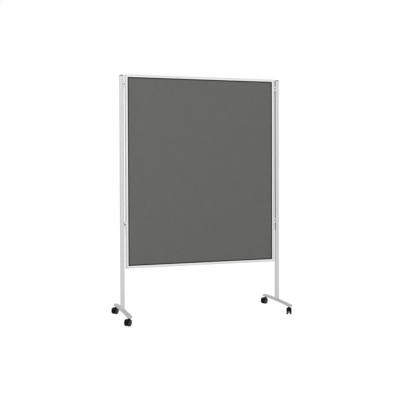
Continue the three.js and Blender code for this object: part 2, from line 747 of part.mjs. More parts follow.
// The steel stem: it turns in the hood's socket, and its flange bears on the underside of the foot.
function castorStem() {
  const r = STEM_DIAMETER / 2;
  const flange = STEM_FLANGE_DIAMETER / 2;
  // The bar's underside slopes down outwards, so the flange's outer side meets it first.
  const seat = footUnderside(CASTOR_Y + flange) - CLEARANCE;
  const top = footUnderside(CASTOR_Y) + FOOT_HEIGHT - 2 * FOOT_WALL;
  return turned([
    [0, SOCKET_TOP - SOCKET_DEPTH + CLEARANCE],
    [r - 1, SOCKET_TOP - SOCKET_DEPTH + CLEARANCE],
    [r, SOCKET_TOP - SOCKET_DEPTH + CLEARANCE + 1],
    [r, SOCKET_TOP + CLEARANCE],
    [flange, SOCKET_TOP + CLEARANCE],
    [flange, seat],
    [r, seat],
    [r, top],
    [0, top],
  ]);
}

function footUnderside(y) {
  return footLine(y) - FOOT_HEIGHT / 2;
}

// ---- The assembly -------------------------------------------------------------------------------------
const partition = new THREE.Group();

function add(parent, name, geometry, finish) {
  const mesh = new THREE.Mesh(geometry, MATERIALS[finish]());
  mesh.name = name;
  parent.add(mesh);
  return mesh;
}

function placed(parent, x, y, z) {
  const group = new THREE.Group();
  group.position.set(x, y, z);
  parent.add(group);
  return group;
}

function addBoard() {
  const board = placed(partition, 0, 0, PANEL_MIDDLE);
  const quarter = Math.PI / 2;
  const stile = frameRail(PANEL_HEIGHT, PANEL_WIDTH / 2);
  const rail = frameRail(PANEL_WIDTH, PANEL_HEIGHT / 2);
  add(board, "frame_stile_right", stile.clone(), "aluminium");
  add(board, "frame_stile_left", stile.clone().rotateY(2 * quarter), "aluminium");
  add(board, "frame_rail_top", rail.clone().rotateY(-quarter), "aluminium");
  add(board, "frame_rail_bottom", rail.clone().rotateY(quarter), "aluminium");
  for (const [level, sz] of [["top", 1], ["bottom", -1]]) {
    for (const [side, sx] of Object.entries(SIDES)) {
      add(board, `corner_key_${level}_${side}`, cornerKey(sx, sz), "brightSteel");
    }
  }
  const half = CORE_THICKNESS / 2;
  add(board, "board_core", boardSheet(-half, half), "fibreboard");
  add(board, "felt_front", boardSheet(-half - FELT_THICKNESS, -half), "felt");
  add(board, "felt_rear", boardSheet(half, half + FELT_THICKNESS), "felt");
}

// The locks are drawn for the right side, and mirrored for the left.
function mirrored(geometry, side) {
  if (side > 0) return geometry;
  const flipped = geometry.index ? geometry.toNonIndexed() : geometry.clone();
  flipped.scale(-1, 1, 1);
  const p = flipped.attributes.position;
  for (let i = 0; i < p.count; i += 3) {
    const keep = [p.getX(i + 1), p.getY(i + 1), p.getZ(i + 1)];
    p.setXYZ(i + 1, p.getX(i + 2), p.getY(i + 2), p.getZ(i + 2));
    p.setXYZ(i + 2, ...keep);
  }
  return flipped;
}

function addLocks() {
  for (const [side, sx] of Object.entries(SIDES)) {
    for (const [level, z] of Object.entries(LOCK_LEVELS)) {
      const lock = placed(partition, (sx * PANEL_WIDTH) / 2, 0, z);
      add(lock, `lock_housing_${level}_${side}`, mirrored(lockHousing(), sx), "castZinc");
      add(lock, `lock_slide_${level}_${side}`, mirrored(lockSlide(), sx), "brightSteel");
      add(lock, `lock_screw_${level}_${side}`, mirrored(lockScrew(), sx), "blackSteel");
    }
  }
}

function addStands() {
  for (const [side, sx] of Object.entries(SIDES)) {
    const stand = placed(partition, sx * COLUMN_X, 0, 0);
    add(stand, `column_${side}`, mirrored(columnTube(), sx), "aluminium");
    add(stand, `column_cap_${side}`, columnCap(), "greyPlastic");
    add(stand, `base_plug_${side}`, basePlug(), "blackPlastic");
    add(stand, `foot_bolt_${side}`, footBolt(), "brightSteel");
    add(stand, `foot_bar_${side}`, footBar(), "silverPaint");
    add(stand, `foot_plug_rear_${side}`, footPlug(), "silverPaint");
    add(stand, `foot_plug_front_${side}`, footPlug().rotateZ(Math.PI), "silverPaint");
  }
}

function addCastor({ name, side, end, heading, braked }) {
  const mount = placed(partition, side * COLUMN_X, end * CASTOR_Y, 0);
  add(mount, `castor_stem_${name}`, castorStem(), "brightSteel");
  const castor = placed(mount, 0, 0, 0);
  castor.rotation.z = THREE.MathUtils.degToRad(heading);
  add(castor, `castor_hood_${name}`, castorHood(braked), "blackPlastic");
  const reach = WHEEL_GAP / 2 + WHEEL_WIDTH - 3 - CLEARANCE;
  add(castor, `castor_axle_${name}`, onAxle(cylinder(AXLE_DIAMETER, -reach, reach)), "brightSteel");
  for (const [label, turn] of [["a", 0], ["b", Math.PI]]) {
    const wheel = castorWheel().translate(0, 0, WHEEL_GAP / 2).rotateX(turn);
    add(castor, `castor_wheel_${label}_${name}`, onAxle(wheel), "blackPlastic");
  }
  if (braked) add(castor, `brake_pedal_${name}`, brakePedal(), "blackPlastic");
}

addBoard();
addLocks();
addStands();
CASTORS.forEach(addCastor);

export default partition;
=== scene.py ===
# %% [markdown]
# # A rolling partition, dressed for its portrait
# The imported CAD model comes in as a fixed frame: every piece is already in its place, in metres, with
# +Z up and the front towards -Y. This lesson adds what a camera sees, such as smooth tubes, moulded
# castors, felt and metal finishes.

import json
import math

import bmesh
import bpy
from mathutils import Matrix, Vector, noise


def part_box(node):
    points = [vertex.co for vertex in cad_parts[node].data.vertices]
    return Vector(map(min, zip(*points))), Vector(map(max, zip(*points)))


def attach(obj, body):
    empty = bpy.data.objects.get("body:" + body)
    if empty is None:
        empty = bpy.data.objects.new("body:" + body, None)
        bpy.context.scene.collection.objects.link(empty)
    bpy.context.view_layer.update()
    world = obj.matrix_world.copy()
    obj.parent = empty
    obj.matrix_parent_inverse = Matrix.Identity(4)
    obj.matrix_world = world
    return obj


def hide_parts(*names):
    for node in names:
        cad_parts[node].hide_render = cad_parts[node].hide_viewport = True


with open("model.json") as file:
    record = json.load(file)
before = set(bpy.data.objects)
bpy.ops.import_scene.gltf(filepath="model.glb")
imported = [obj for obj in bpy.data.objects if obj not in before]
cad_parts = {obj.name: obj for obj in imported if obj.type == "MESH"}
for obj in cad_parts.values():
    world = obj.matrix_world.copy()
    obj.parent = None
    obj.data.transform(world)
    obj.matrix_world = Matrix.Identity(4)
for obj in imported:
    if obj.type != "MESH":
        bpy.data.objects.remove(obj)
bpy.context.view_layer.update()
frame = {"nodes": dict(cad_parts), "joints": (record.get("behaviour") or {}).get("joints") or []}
nodes = frame["nodes"]
joints = {joint["name"]: joint for joint in frame["joints"]}
scene = bpy.context.scene
MM = 0.001
SIDES = {"left": -1, "right": 1}

# %% [markdown]
# ## The camera
# The photo was taken from the left, about 5.8 m away and a little above the middle of the board. The
# place, the turn and the lens come from a fit of the board's corners, the columns and the feet. The
# small lens shift does what a photographer's shift lens does: it keeps the columns nearly upright.

# %% Camera
IMAGE_WIDTH = 400
CAMERA_PLACE = Vector((-1.84589, -5.50737, 1.20598))
CAMERA_YAW = 0.320631
CAMERA_PITCH = -0.0175125
CAMERA_ROLL = -0.0033004
FOCAL_PIXELS = 726.96
SHIFT_PIXELS = -24.0

camera_data = bpy.data.cameras.new("camera")
camera_data.sensor_width = 36.0
camera_data.lens = FOCAL_PIXELS / IMAGE_WIDTH * camera_data.sensor_width
camera_data.shift_y = SHIFT_PIXELS / IMAGE_WIDTH
camera_data.clip_end = 60.0
camera = bpy.data.objects.new("camera", camera_data)
scene.collection.objects.link(camera)
forward = Vector((
    math.sin(CAMERA_YAW) * math.cos(CAMERA_PITCH),
    math.cos(CAMERA_YAW) * math.cos(CAMERA_PITCH),
    math.sin(CAMERA_PITCH),
))
level_right = Vector((math.cos(CAMERA_YAW), -math.sin(CAMERA_YAW), 0))
level_up = level_right.cross(forward)
right = math.cos(CAMERA_ROLL) * level_right + math.sin(CAMERA_ROLL) * level_up
up = right.cross(forward)
turn = Matrix((right, up, -forward)).transposed()
camera.matrix_world = Matrix.Translation(CAMERA_PLACE) @ turn.to_4x4()
scene.camera = camera
scene.view_settings.view_transform = "Standard"
print("lens %.1f mm, shift %.3f" % (camera_data.lens, camera_data.shift_y))

# %% [markdown]
# ## Light and backdrop
# The photo is a catalogue cut-out: white all round and hardly any shadow. A plain world gives even
# light, and two large soft lamps give the metal its lighter and darker sides. White behind the object
# comes from Light Path nodes: the camera and reflections see pure white, while the object is lit by
# less than that. The floor's own glow is a little over white, so that it clips to white, and what is
# left of its plain paper still takes a faint shadow under the feet.

# %% World, lamps and floor
WHITE = (1, 1, 1, 1)
WORLD_LIGHT = 0.66
KEY = {"place": (-2.6, -4.6, 3.0), "target": (0, 0, 0.95), "power": 92.0, "width": 2.4, "height": 2.0}
SIDE = {"place": (4.2, -1.6, 2.4), "target": (0, 0, 0.9), "power": 22.0, "width": 2.0, "height": 2.4}
FLOOR_REACH = 14.0
FLOOR_COLOUR = (0.86, 0.86, 0.86, 1)
FLOOR_GLOW = 1.17
FLOOR_GLOW_SHARE = 0.76


def node_tree(owner):
    owner.use_nodes = True
    owner.node_tree.nodes.clear()
    return owner.node_tree


def joined(tree, kind, inputs=None, **settings):
    """Adds a node with its settings, and its inputs from values or from other sockets."""
    node = tree.nodes.new(kind)
    for name, value in settings.items():
        setattr(node, name, value)
    for name, value in (inputs or {}).items():
        if isinstance(value, bpy.types.NodeSocket):
            tree.links.new(value, node.inputs[name])
        else:
            node.inputs[name].default_value = value
    return node


def maths(tree, operation, a, b, clamp=False):
    return joined(tree, "ShaderNodeMath", {0: a, 1: b}, operation=operation, use_clamp=clamp).outputs[0]


def seen_directly(tree):
    """1 for rays that show the backdrop itself or its reflection, and 0 for those that light the object."""
    path = joined(tree, "ShaderNodeLightPath").outputs
    either = maths(tree, "MAXIMUM", path["Is Camera Ray"], path["Is Glossy Ray"])
    return maths(tree, "MAXIMUM", either, path["Is Transmission Ray"])


def by_ray(tree, lighting, shown):
    """One shader for the rays that light the object, and another for those that show the backdrop."""
    return joined(tree, "ShaderNodeMixShader",
                  {0: seen_directly(tree), 1: lighting.outputs[0], 2: shown.outputs[0]}).outputs[0]


world = bpy.data.worlds.new("studio")
scene.world = world
tree = node_tree(world)
lit = joined(tree, "ShaderNodeBackground", {"Color": WHITE, "Strength": WORLD_LIGHT})
blank = joined(tree, "ShaderNodeBackground", {"Color": WHITE, "Strength": 1.0})
joined(tree, "ShaderNodeOutputWorld", {"Surface": by_ray(tree, lit, blank)})


def soft_lamp(name, place, target, power, width, height):
    data = bpy.data.lights.new(name, "AREA")
    data.shape, data.size, data.size_y, data.energy = "RECTANGLE", width, height, power
    lamp = bpy.data.objects.new(name, data)
    lamp.location = place
    lamp.rotation_euler = (Vector(target) - Vector(place)).to_track_quat("-Z", "Y").to_euler()
    scene.collection.objects.link(lamp)


soft_lamp("key", **KEY)
soft_lamp("side", **SIDE)

floor_mesh = bpy.data.meshes.new("floor")
corners = [(x * FLOOR_REACH, y * FLOOR_REACH, 0) for x, y in ((-1, -1), (1, -1), (1, 1), (-1, 1))]
floor_mesh.from_pydata(corners, [], [(0, 1, 2, 3)])
floor = bpy.data.objects.new("floor", floor_mesh)
scene.collection.objects.link(floor)
floor_finish = bpy.data.materials.new("floor_paper")
tree = node_tree(floor_finish)
paper = joined(tree, "ShaderNodeBsdfDiffuse", {"Color": FLOOR_COLOUR})
glow = joined(tree, "ShaderNodeEmission", {"Color": WHITE, "Strength": FLOOR_GLOW})
faint = joined(tree, "ShaderNodeMixShader", {0: FLOOR_GLOW_SHARE, 1: paper.outputs[0], 2: glow.outputs[0]})
joined(tree, "ShaderNodeOutputMaterial", {"Surface": by_ray(tree, paper, faint)})
floor_mesh.materials.append(floor_finish)
print("world", WORLD_LIGHT, "key", KEY["power"], "W, side", SIDE["power"], "W")

# %% [markdown]
# ## Shared surface effects
# Several finishes need the same effects: a fine grain on castings, paint and mouldings, the lengthwise
# draw marks of an extruded profile, matted fibres, and a little floor dust low down. Each effect is one
# shader node group that every material places with its own values. Image maps would also work, but a
# pattern worked out from the piece's own coordinates stays sharp at any distance, with no unwrapping.

# %% Shader groups


SOCKET_KINDS = {float: "NodeSocketFloat", int: "NodeSocketInt"}


def node_group(name, kind, inputs, outputs):
    """A new group, the sockets that it is given and those that are taken from it.

    Each input is (name, default number) or, like each output, (name, kind of socket).
    """
    group = bpy.data.node_groups.new(name, kind)
    for label, value in inputs:
        socket_kind = SOCKET_KINDS.get(type(value), value)
        socket = group.interface.new_socket(label, in_out="INPUT", socket_type=socket_kind)
        if socket_kind != value:
            socket.default_value = value
    for label, socket_kind in outputs:
        group.interface.new_socket(label, in_out="OUTPUT", socket_type=socket_kind)
    return group, joined(group, "NodeGroupInput").outputs, joined(group, "NodeGroupOutput").inputs


def effect(name, inputs, outputs):
    return node_group(name, "ShaderNodeTree", inputs, [(label, "NodeSocketFloat") for label in outputs])


def spread(tree, value, low, high, start=0.0, end=1.0):
    """Maps low..high to start..end, and holds the ends."""
    limits = {"Value": value, "From Min": low, "From Max": high, "To Min": start, "To Max": end}
    return joined(tree, "ShaderNodeMapRange", limits).outputs[0]


def object_place(tree):
    return joined(tree, "ShaderNodeTexCoord").outputs["Object"]


def noise_over(tree, scale, detail, where=None, **more):
    """Noise over the piece's own coordinates, or over the given place."""
    settings = {"Vector": where or object_place(tree), "Scale": scale, "Detail": detail, **more}
    return joined(tree, "ShaderNodeTexNoise", settings).outputs[0]


def fine_grain():
    """Small round bumps, and a slow change of shade over them."""
    group, given, taken = effect("fine_grain", [("Scale", 900.0), ("Patch scale", 14.0)], ["Height", "Mask"])
    patches = noise_over(group, given[1], 4.0)
    group.links.new(noise_over(group, given[0], 3.0), taken["Height"])
    group.links.new(spread(group, patches, 0.3, 0.7), taken["Mask"])
    return group


def draw_marks():
    """Noise that is long along the profile and short across it."""
    sizes = [("Across X", 900.0), ("Across Y", 900.0), ("Along Z", 4.0)]
    group, given, taken = effect("draw_marks", sizes, ["Height", "Mask"])
    stretch = joined(group, "ShaderNodeCombineXYZ", {axis: given[axis] for axis in range(3)})
    where = joined(group, "ShaderNodeVectorMath", {0: object_place(group), 1: stretch.outputs[0]},
                   operation="MULTIPLY")
    lines = noise_over(group, 1.0, 2.0, where.outputs[0])
    group.links.new(lines, taken["Height"])
    group.links.new(spread(group, lines, 0.35, 0.65), taken["Mask"])
    return group


CLOUD_SHARE = 0.08
FIBRE_CONTRAST = 0.18


def matted_fibres():
    """Fine twisted noise for single hairs, and a coarser one for the clouds that they mat into."""
    sizes = [("Fibre scale", 650.0), ("Cloud scale", 38.0)]
    group, given, taken = effect("matted_fibres", sizes, ["Height", "Mask"])
    hairs = noise_over(group, given[0], 5.0, Roughness=0.6, Distortion=2.2)
    clouds = noise_over(group, given[1], 5.0)
    both = maths(group, "ADD", hairs, maths(group, "MULTIPLY", clouds, CLOUD_SHARE))
    middle = 0.5 * (1 + CLOUD_SHARE)
    tones = spread(group, both, middle - FIBRE_CONTRAST, middle + FIBRE_CONTRAST)
    group.links.new(both, taken["Height"])
    group.links.new(tones, taken["Mask"])
    return group


def floor_dust():
    """1 on the floor and 0 above the given height, broken up by noise."""
    group, given, taken = effect("floor_dust", [("Top", 0.05), ("Amount", 0.5)], ["Mask"])
    height = joined(group, "ShaderNodeSeparateXYZ", {"Vector": object_place(group)}).outputs["Z"]
    low = maths(group, "SUBTRACT", 1.0, maths(group, "DIVIDE", height, given[0]), clamp=True)
    flecks = spread(group, noise_over(group, 420.0, 4.0), 0.42, 0.68)
    broken = maths(group, "MULTIPLY", low, flecks)
    group.links.new(maths(group, "MULTIPLY", broken, given[1], clamp=True), taken["Mask"])
    return group


GRAIN, MARKS, FIBRES, DUST = fine_grain(), draw_marks(), matted_fibres(), floor_dust()
print("effects:", ", ".join(group.name for group in (GRAIN, MARKS, FIBRES, DUST)))

# %% [markdown]
# ## Finishes
# Each finish is one Principled material. A value that is the same all over stays on the shader's own
# socket, and what changes over the surface comes from the effects above. Two tones are blended by an
# effect's mask, the roughness follows the same mask, and a small bump carries the grain. Feet and castors
# also get a third tone, the dust that they pick up from the floor.

# %% Finishes


def grey(level, warm=0.0):
    return (level * (1 + warm), level, level * (1 - warm), 1)


def greys(*levels):
    return [grey(level) for level in levels]


def mixed(tree, mask, first, second):
    """The colour first where the mask is 0 and second where it is 1."""
    return joined(tree, "ShaderNodeMix", {0: mask, 6: first, 7: second}, data_type="RGBA").outputs[2]


def finish(name, group, sizes, tones, rough, bump, metallic=0.0, specular=0.5, sheen=0.0,
           dust=0.0, painted_edge_shade=0.0):
    """A material whose two tones and two roughness values follow an effect, which also gives its bump."""
    material = bpy.data.materials.new(name)
    tree = node_tree(material)
    source = joined(tree, "ShaderNodeGroup", dict(enumerate(sizes)), node_tree=group)
    mask = source.outputs["Mask"]
    colour = mixed(tree, mask, *tones)
    roughness = spread(tree, mask, 0.0, 1.0, *rough)
    # Painted shade: the colour darkens towards black by a vertex attribute, a painted shadow line.
    if painted_edge_shade:
        border = joined(tree, "ShaderNodeAttribute", attribute_name="painted_edge_shade").outputs["Fac"]
        colour = mixed(tree, maths(tree, "MULTIPLY", border, painted_edge_shade), colour, grey(0.0))
    if dust:
        lying = joined(tree, "ShaderNodeGroup", {"Amount": dust}, node_tree=DUST).outputs["Mask"]
        colour = mixed(tree, lying, colour, grey(0.22, 0.06))
        roughness = maths(tree, "MAXIMUM", roughness, lying)
    strength, distance = bump
    relief = joined(tree, "ShaderNodeBump",
                    {"Strength": strength, "Distance": distance, "Height": source.outputs["Height"]})
    shader = joined(tree, "ShaderNodeBsdfPrincipled", {
        "Base Color": colour, "Roughness": roughness, "Normal": relief.outputs[0],
        "Metallic": metallic, "Specular IOR Level": specular, "Sheen Weight": sheen})
    joined(tree, "ShaderNodeOutputMaterial", {"Surface": shader.outputs[0]})
    return material


UPRIGHT = (900.0, 900.0, 3.0)
LEVEL = (3.0, 900.0, 900.0)
SATIN = {"rough": (0.36, 0.46), "bump": (0.12, 0.0002), "metallic": 0.2, "specular": 0.3}
BRIGHT = {"rough": (0.22, 0.30), "bump": (0.06, 0.0002), "metallic": 0.2}
FELT_TONES = ((0.088, 0.088, 0.0845, 1), (0.191, 0.191, 0.1835, 1))
# Painted light: the level rails take a lighter copy of the same anodised finish than the stiles and the
# columns.
upright_satin = finish("anodised_upright", MARKS, UPRIGHT, greys(0.60, 0.68), **SATIN)
level_satin_painted_lighter = finish("anodised_level_painted_lighter", MARKS, LEVEL, greys(0.70, 0.78), **SATIN)
# Painted highlight: the lip's faces take a lighter colour than the satin profile; the lower roughness is a
# smoother finish.
upright_lip = finish("lip_painted_highlight_upright", MARKS, UPRIGHT, greys(0.88, 0.95), **BRIGHT)
level_lip = finish("lip_painted_highlight_level", MARKS, LEVEL, greys(0.88, 0.95), **BRIGHT)
# Painted shade: a near-black finish on the column tube's inner wall and slot sides stands in for the shadow
# inside the tube.
inner_wall_painted_shade = finish("inner_wall_painted_shade", MARKS, UPRIGHT, greys(0.010, 0.020), (0.6, 0.75), (0.15, 0.0002),
                    metallic=0.2, specular=0.1)
silver_paint = finish("silver_paint", GRAIN, (750.0, 9.0), greys(0.47, 0.53), (0.42, 0.52), (0.16, 0.0003),
                      metallic=0.2, specular=0.35, dust=0.05)
cast_metal = finish("cast_metal", GRAIN, (1400.0, 40.0), greys(0.66, 0.74), (0.34, 0.48), (0.14, 0.0002),
                    metallic=0.4)
# The felt darkens by up to 0.80 towards black beside the lip: painted shade.
felt_finish = finish("grey_felt", FIBRES, (650.0, 38.0), FELT_TONES, (0.92, 1.0), (0.9, 0.0008),
                     specular=0.08, sheen=0.06, painted_edge_shade=0.80)
board_finish = finish("pressed_fibreboard", FIBRES, (420.0, 60.0), (grey(0.20, 0.35), grey(0.33, 0.32)),
                      (0.85, 0.95), (0.5, 0.0006), specular=0.2)
cap_plastic = finish("cap_plastic", GRAIN, (1600.0, 30.0), greys(0.030, 0.040), (0.34, 0.42), (0.10, 0.0002))
moulded_black = finish("moulded_black", GRAIN, (1500.0, 45.0), greys(0.0025, 0.005), (0.42, 0.56),
                       (0.22, 0.0002), specular=0.10, dust=0.03)
tread_black = finish("tread_black", GRAIN, (1100.0, 60.0), greys(0.0025, 0.0045), (0.60, 0.78),
                     (0.25, 0.0003), specular=0.06, dust=0.03)
hub_grey = finish("hub_grey", GRAIN, (1300.0, 60.0), greys(0.034, 0.046), (0.40, 0.52), (0.15, 0.0002),
                  specular=0.20, dust=0.04)
blackened = finish("blackened_steel", GRAIN, (1800.0, 90.0), greys(0.006, 0.011), (0.36, 0.50),
                   (0.12, 0.0001), specular=0.15)
bright_zinc = finish("bright_zinc", GRAIN, (1500.0, 120.0), greys(0.50, 0.62), (0.24, 0.40),
                     (0.10, 0.0001), metallic=1.0)
print("finishes:", len(bpy.data.materials))

# %% [markdown]
# ## Making a piece
# Every piece goes the same way: a bmesh is filled, its faces are turned outwards, sharp edges stay crisp
# while the rest shades smoothly, and the piece rides on its CAD body and takes over from the plain CAD
# nodes. Real edges are never knife sharp, so many pieces also get a narrow Bevel modifier.

# %% Mesh helpers
SHARP_ANGLE = math.radians(32)
made = []


def lofted(rings):
    """A bmesh that skins rings of points of equal length and closes both ends."""
    bm = bmesh.new()
    rows = [[bm.verts.new(point) for point in ring] for ring in rings]
    count = len(rows[0])
    for low, high in zip(rows, rows[1:]):
        for i in range(count):
            j = (i + 1) % count
            bm.faces.new((low[i], low[j], high[j], high[i]))
    bm.faces.new(rows[0][::-1])
    bm.faces.new(rows[-1])
    return bm


def turned(profile, segments, second_from=math.inf):
    """Turns (radius, height) pairs about Z. The second finish starts at the pair numbered second_from."""
    bm = bmesh.new()
    rows = []
    for radius, height in profile:
        steps = 1 if radius < 1e-9 else segments
        angles = [2 * math.pi * i / segments for i in range(steps)]
        rows.append([bm.verts.new((radius * math.cos(a), radius * math.sin(a), height)) for a in angles])
    for number, (low, high) in enumerate(zip(rows, rows[1:])):
        for i in range(segments):
            j = (i + 1) % segments
            ring = (low[i % len(low)], low[j % len(low)], high[j % len(high)], high[i % len(high)])
            face = bm.faces.new(list(dict.fromkeys(ring)))
            face.material_index = int(number >= second_from)
    return bm


def sheet_of(outline, width):
    """A bmesh prism on a closed outline of (x, z) points, centred on Y."""
    return lofted([[Vector((x, y, z)) for x, z in outline] for y in (-width / 2, width / 2)])


def arc(centre, radius, start, end, steps):
    """Points on an arc, with angles in degrees."""
    angles = [math.radians(start + (end - start) * i / steps) for i in range(steps + 1)]
    return [(centre[0] + radius * math.cos(a), centre[1] + radius * math.sin(a)) for a in angles]


def rounded_rectangle(width, depth, radius, steps):
    """Anticlockwise points of a rectangle with round corners, about the origin."""
    points = []
    for quarter, (sx, sy) in enumerate(((1, 1), (-1, 1), (-1, -1), (1, -1))):
        centre = (sx * (width / 2 - radius), sy * (depth / 2 - radius))
        points += arc(centre, radius, 90 * quarter, 90 * quarter + 90, steps)
    return points


def object_of(bm, name="loose"):
    """Turns a bmesh's faces outwards and makes an object of it."""
    bmesh.ops.recalc_face_normals(bm, faces=bm.faces)
    mesh = bpy.data.meshes.new(name)
    bm.to_mesh(mesh)
    bm.free()
    body = bpy.data.objects.new(name, mesh)
    scene.collection.objects.link(body)
    return body


def settled(body):
    """What an object looks like after its modifiers, as a bmesh."""
    bpy.context.view_layer.update()
    seen = body.evaluated_get(bpy.context.evaluated_depsgraph_get())
    mesh = bpy.data.meshes.new_from_object(seen)
    bm = bmesh.new()
    bm.from_mesh(mesh)
    bpy.data.meshes.remove(mesh)
    return bm


def carved(base, joins, cuts, weld=1e-4 * MM):
    """Joins some bmeshes to a base, and then cuts others from it."""
    body = object_of(base)
    helpers = []
    for operation, tools in (("UNION", joins), ("DIFFERENCE", cuts)):
        for tool in tools:
            helpers.append(object_of(tool))
            step = body.modifiers.new("step", "BOOLEAN")
            step.operation, step.object, step.solver = operation, helpers[-1], "EXACT"
    bm = settled(body)
    for helper in [body, *helpers]:
        bpy.data.meshes.remove(helper.data)
    bmesh.ops.remove_doubles(bm, verts=bm.verts, dist=weld)
    bmesh.ops.dissolve_degenerate(bm, dist=weld, edges=bm.edges)
    bmesh.ops.dissolve_limit(bm, angle_limit=math.radians(0.5), verts=bm.verts, edges=bm.edges)
    return bm


def moved(bm, matrix):
    bmesh.ops.transform(bm, matrix=matrix, verts=bm.verts)
    return bm


def finished(name, bm, body, finishes, replaced, bevel=0.0):
    """A bmesh in metres and in place becomes a piece that rides on a body."""
    piece = object_of(bm, name)
    for material in finishes:
        piece.data.materials.append(material)
    piece.data.shade_smooth()
    piece.data.set_sharp_from_angle(angle=SHARP_ANGLE)
    if bevel:
        edge = piece.modifiers.new("soft_edges", "BEVEL")
        edge.width, edge.segments, edge.limit_method, edge.angle_limit = bevel, 2, "ANGLE", SHARP_ANGLE
        edge.use_clamp_overlap, edge.harden_normals = True, True
    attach(piece, body)
    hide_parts(*replaced)
    made.append(name)
    return piece

# %% [markdown]
# ## The frame
# The frame is one extruded section on all four sides. It holds the board in a groove, shows a flat lip
# beside the felt and rounds off outwards. The lip is coloured lighter than the rest, a painted highlight.
# The section is drawn once as points, laid along each side and cut at 45 degrees where two sides meet.
# A thin V between the lip and the rounding gives the fine line that the real profile has.

# %% Frame profiles
top_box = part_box("frame_rail_top")
PANEL_TOP, PANEL_BOTTOM = top_box[1].z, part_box("frame_rail_bottom")[0].z
PANEL_HALF_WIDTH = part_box("frame_stile_right")[1].x
PANEL_MIDDLE = Vector((0, 0, (PANEL_TOP + PANEL_BOTTOM) / 2))
PANEL_HALF_HEIGHT = (PANEL_TOP - PANEL_BOTTOM) / 2
FRAME_FACE = top_box[1].z - top_box[0].z
FRAME_HALF_DEPTH = top_box[1].y
LIP_FACE = 7.6 * MM
LIP_THICKNESS = 1.7 * MM
EDGE_ROUND = 9 * MM
GROOVE_DEPTH = 10 * MM
MITRE_GAP = 0.12 * MM
CHAMBER = [(u * MM, v * MM) for u, v in ((11.6, -6), (17.4, -6), (17.4, 6), (11.6, 6))]


def frame_section():
    """(outward, depth) points of the frame's section, and whether the stretch after each is the lip."""
    half, face, lip = FRAME_HALF_DEPTH, FRAME_FACE, LIP_FACE
    corner, notch = 0.5 * MM, 0.45 * MM
    front = [(0, -half + corner), (corner * 0.3, -half + corner * 0.3), (corner, -half), (lip, -half),
             (lip + notch, -half + notch), (lip + 2 * notch, -half)]
    bend = arc((face - EDGE_ROUND, -half + EDGE_ROUND), EDGE_ROUND, -90, 0, 10)
    outside = front + bend
    outside += [(u, -v) for u, v in outside[::-1]]
    groove = half - LIP_THICKNESS
    return outside + [(0, groove), (GROOVE_DEPTH, groove), (GROOVE_DEPTH, -groove), (0, -groove)]


def frame_profile(name, node, outward, along, reach, half_length, finishes):
    bm = bmesh.new()

    def laid(section):
        rows = []
        for end in (-1, 1):
            row = []
            for u, v in section:
                run = end * (half_length - (FRAME_FACE - u) - MITRE_GAP)
                place = PANEL_MIDDLE + outward * (reach - FRAME_FACE + u) + along * run
                row.append(bm.verts.new(place + Vector((0, v, 0))))
            rows.append(row)
        count = len(section)
        for i in range(count):
            j = (i + 1) % count
            face = bm.faces.new((rows[0][i], rows[0][j], rows[1][j], rows[1][i]))
            # Part 1, the lip, takes the finish with the painted highlight.
            face.material_index = 0 if max(section[i][0], section[j][0]) > LIP_FACE + 1e-6 else 1
        return rows

    outer, inner = laid(frame_section()), laid(CHAMBER)
    for row, hole in zip(outer, inner):
        rim = [bm.edges.get((ring[i - 1], ring[i])) for ring in (row, hole) for i in range(len(ring))]
        bmesh.ops.triangle_fill(bm, edges=rim, use_beauty=True)
    finished(name, bm, "panel", finishes, [node])


X, Z = Vector((1, 0, 0)), Vector((0, 0, 1))
for side, sign in SIDES.items():
    frame_profile(f"stile_profile_{side}", f"frame_stile_{side}", sign * X, Z,
                  PANEL_HALF_WIDTH, PANEL_HALF_HEIGHT, (upright_satin, upright_lip))
for level, sign in (("top", 1), ("bottom", -1)):
    frame_profile(f"rail_profile_{level}", f"frame_rail_{level}", sign * Z, X,
                  PANEL_HALF_HEIGHT, PANEL_HALF_WIDTH, (level_satin_painted_lighter, level_lip))
print("frame %.0f x %.0f mm" % (2 * PANEL_HALF_WIDTH / MM, 2 * PANEL_HALF_HEIGHT / MM))

# %% [markdown]
# ## The felt
# Each face is one sheet of needle felt, glued to the board and pinched by the frame's lips. Beside the
# lip it lies pressed flat, and it swells to its full height 13 mm further in. The dark line round the
# board is painted shade: a vertex attribute records how flat the felt lies, and the finish darkens
# it towards black by that. The sheet is a grid with close rows near its edges and wide ones in the middle.

# %% Felt sheets
CORE_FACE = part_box("board_core")[1].y
FELT_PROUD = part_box("felt_rear")[1].y
FELT_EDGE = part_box("felt_rear")[1].x
FELT_FLAT = (2 * FELT_EDGE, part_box("felt_rear")[1].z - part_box("felt_rear")[0].z)
# The band beside the lip where the felt lies flatter and where painted shade darkens it.
PRESSED_SHADE_BAND = 13 * MM
PRESSED_FLAT = 0.45
PRESSED_SHARE = 0.25
UNEVENNESS = 0.12 * MM


def stations(half, lip_edge, spans):
    """Grid lines from -half to half: close ones beside the lip, and even spans between."""
    shoulder = [lip_edge - PRESSED_SHADE_BAND * share for share in (1.5, 1.0, 0.85, 0.7, 0.58, PRESSED_FLAT, 0.0)]
    middle = [shoulder[0] * (2 * i / spans - 1) for i in range(spans + 1)]
    rising = [-value for value in reversed(shoulder[1:])]
    return [-half, *rising, *middle, *shoulder[1:], half]


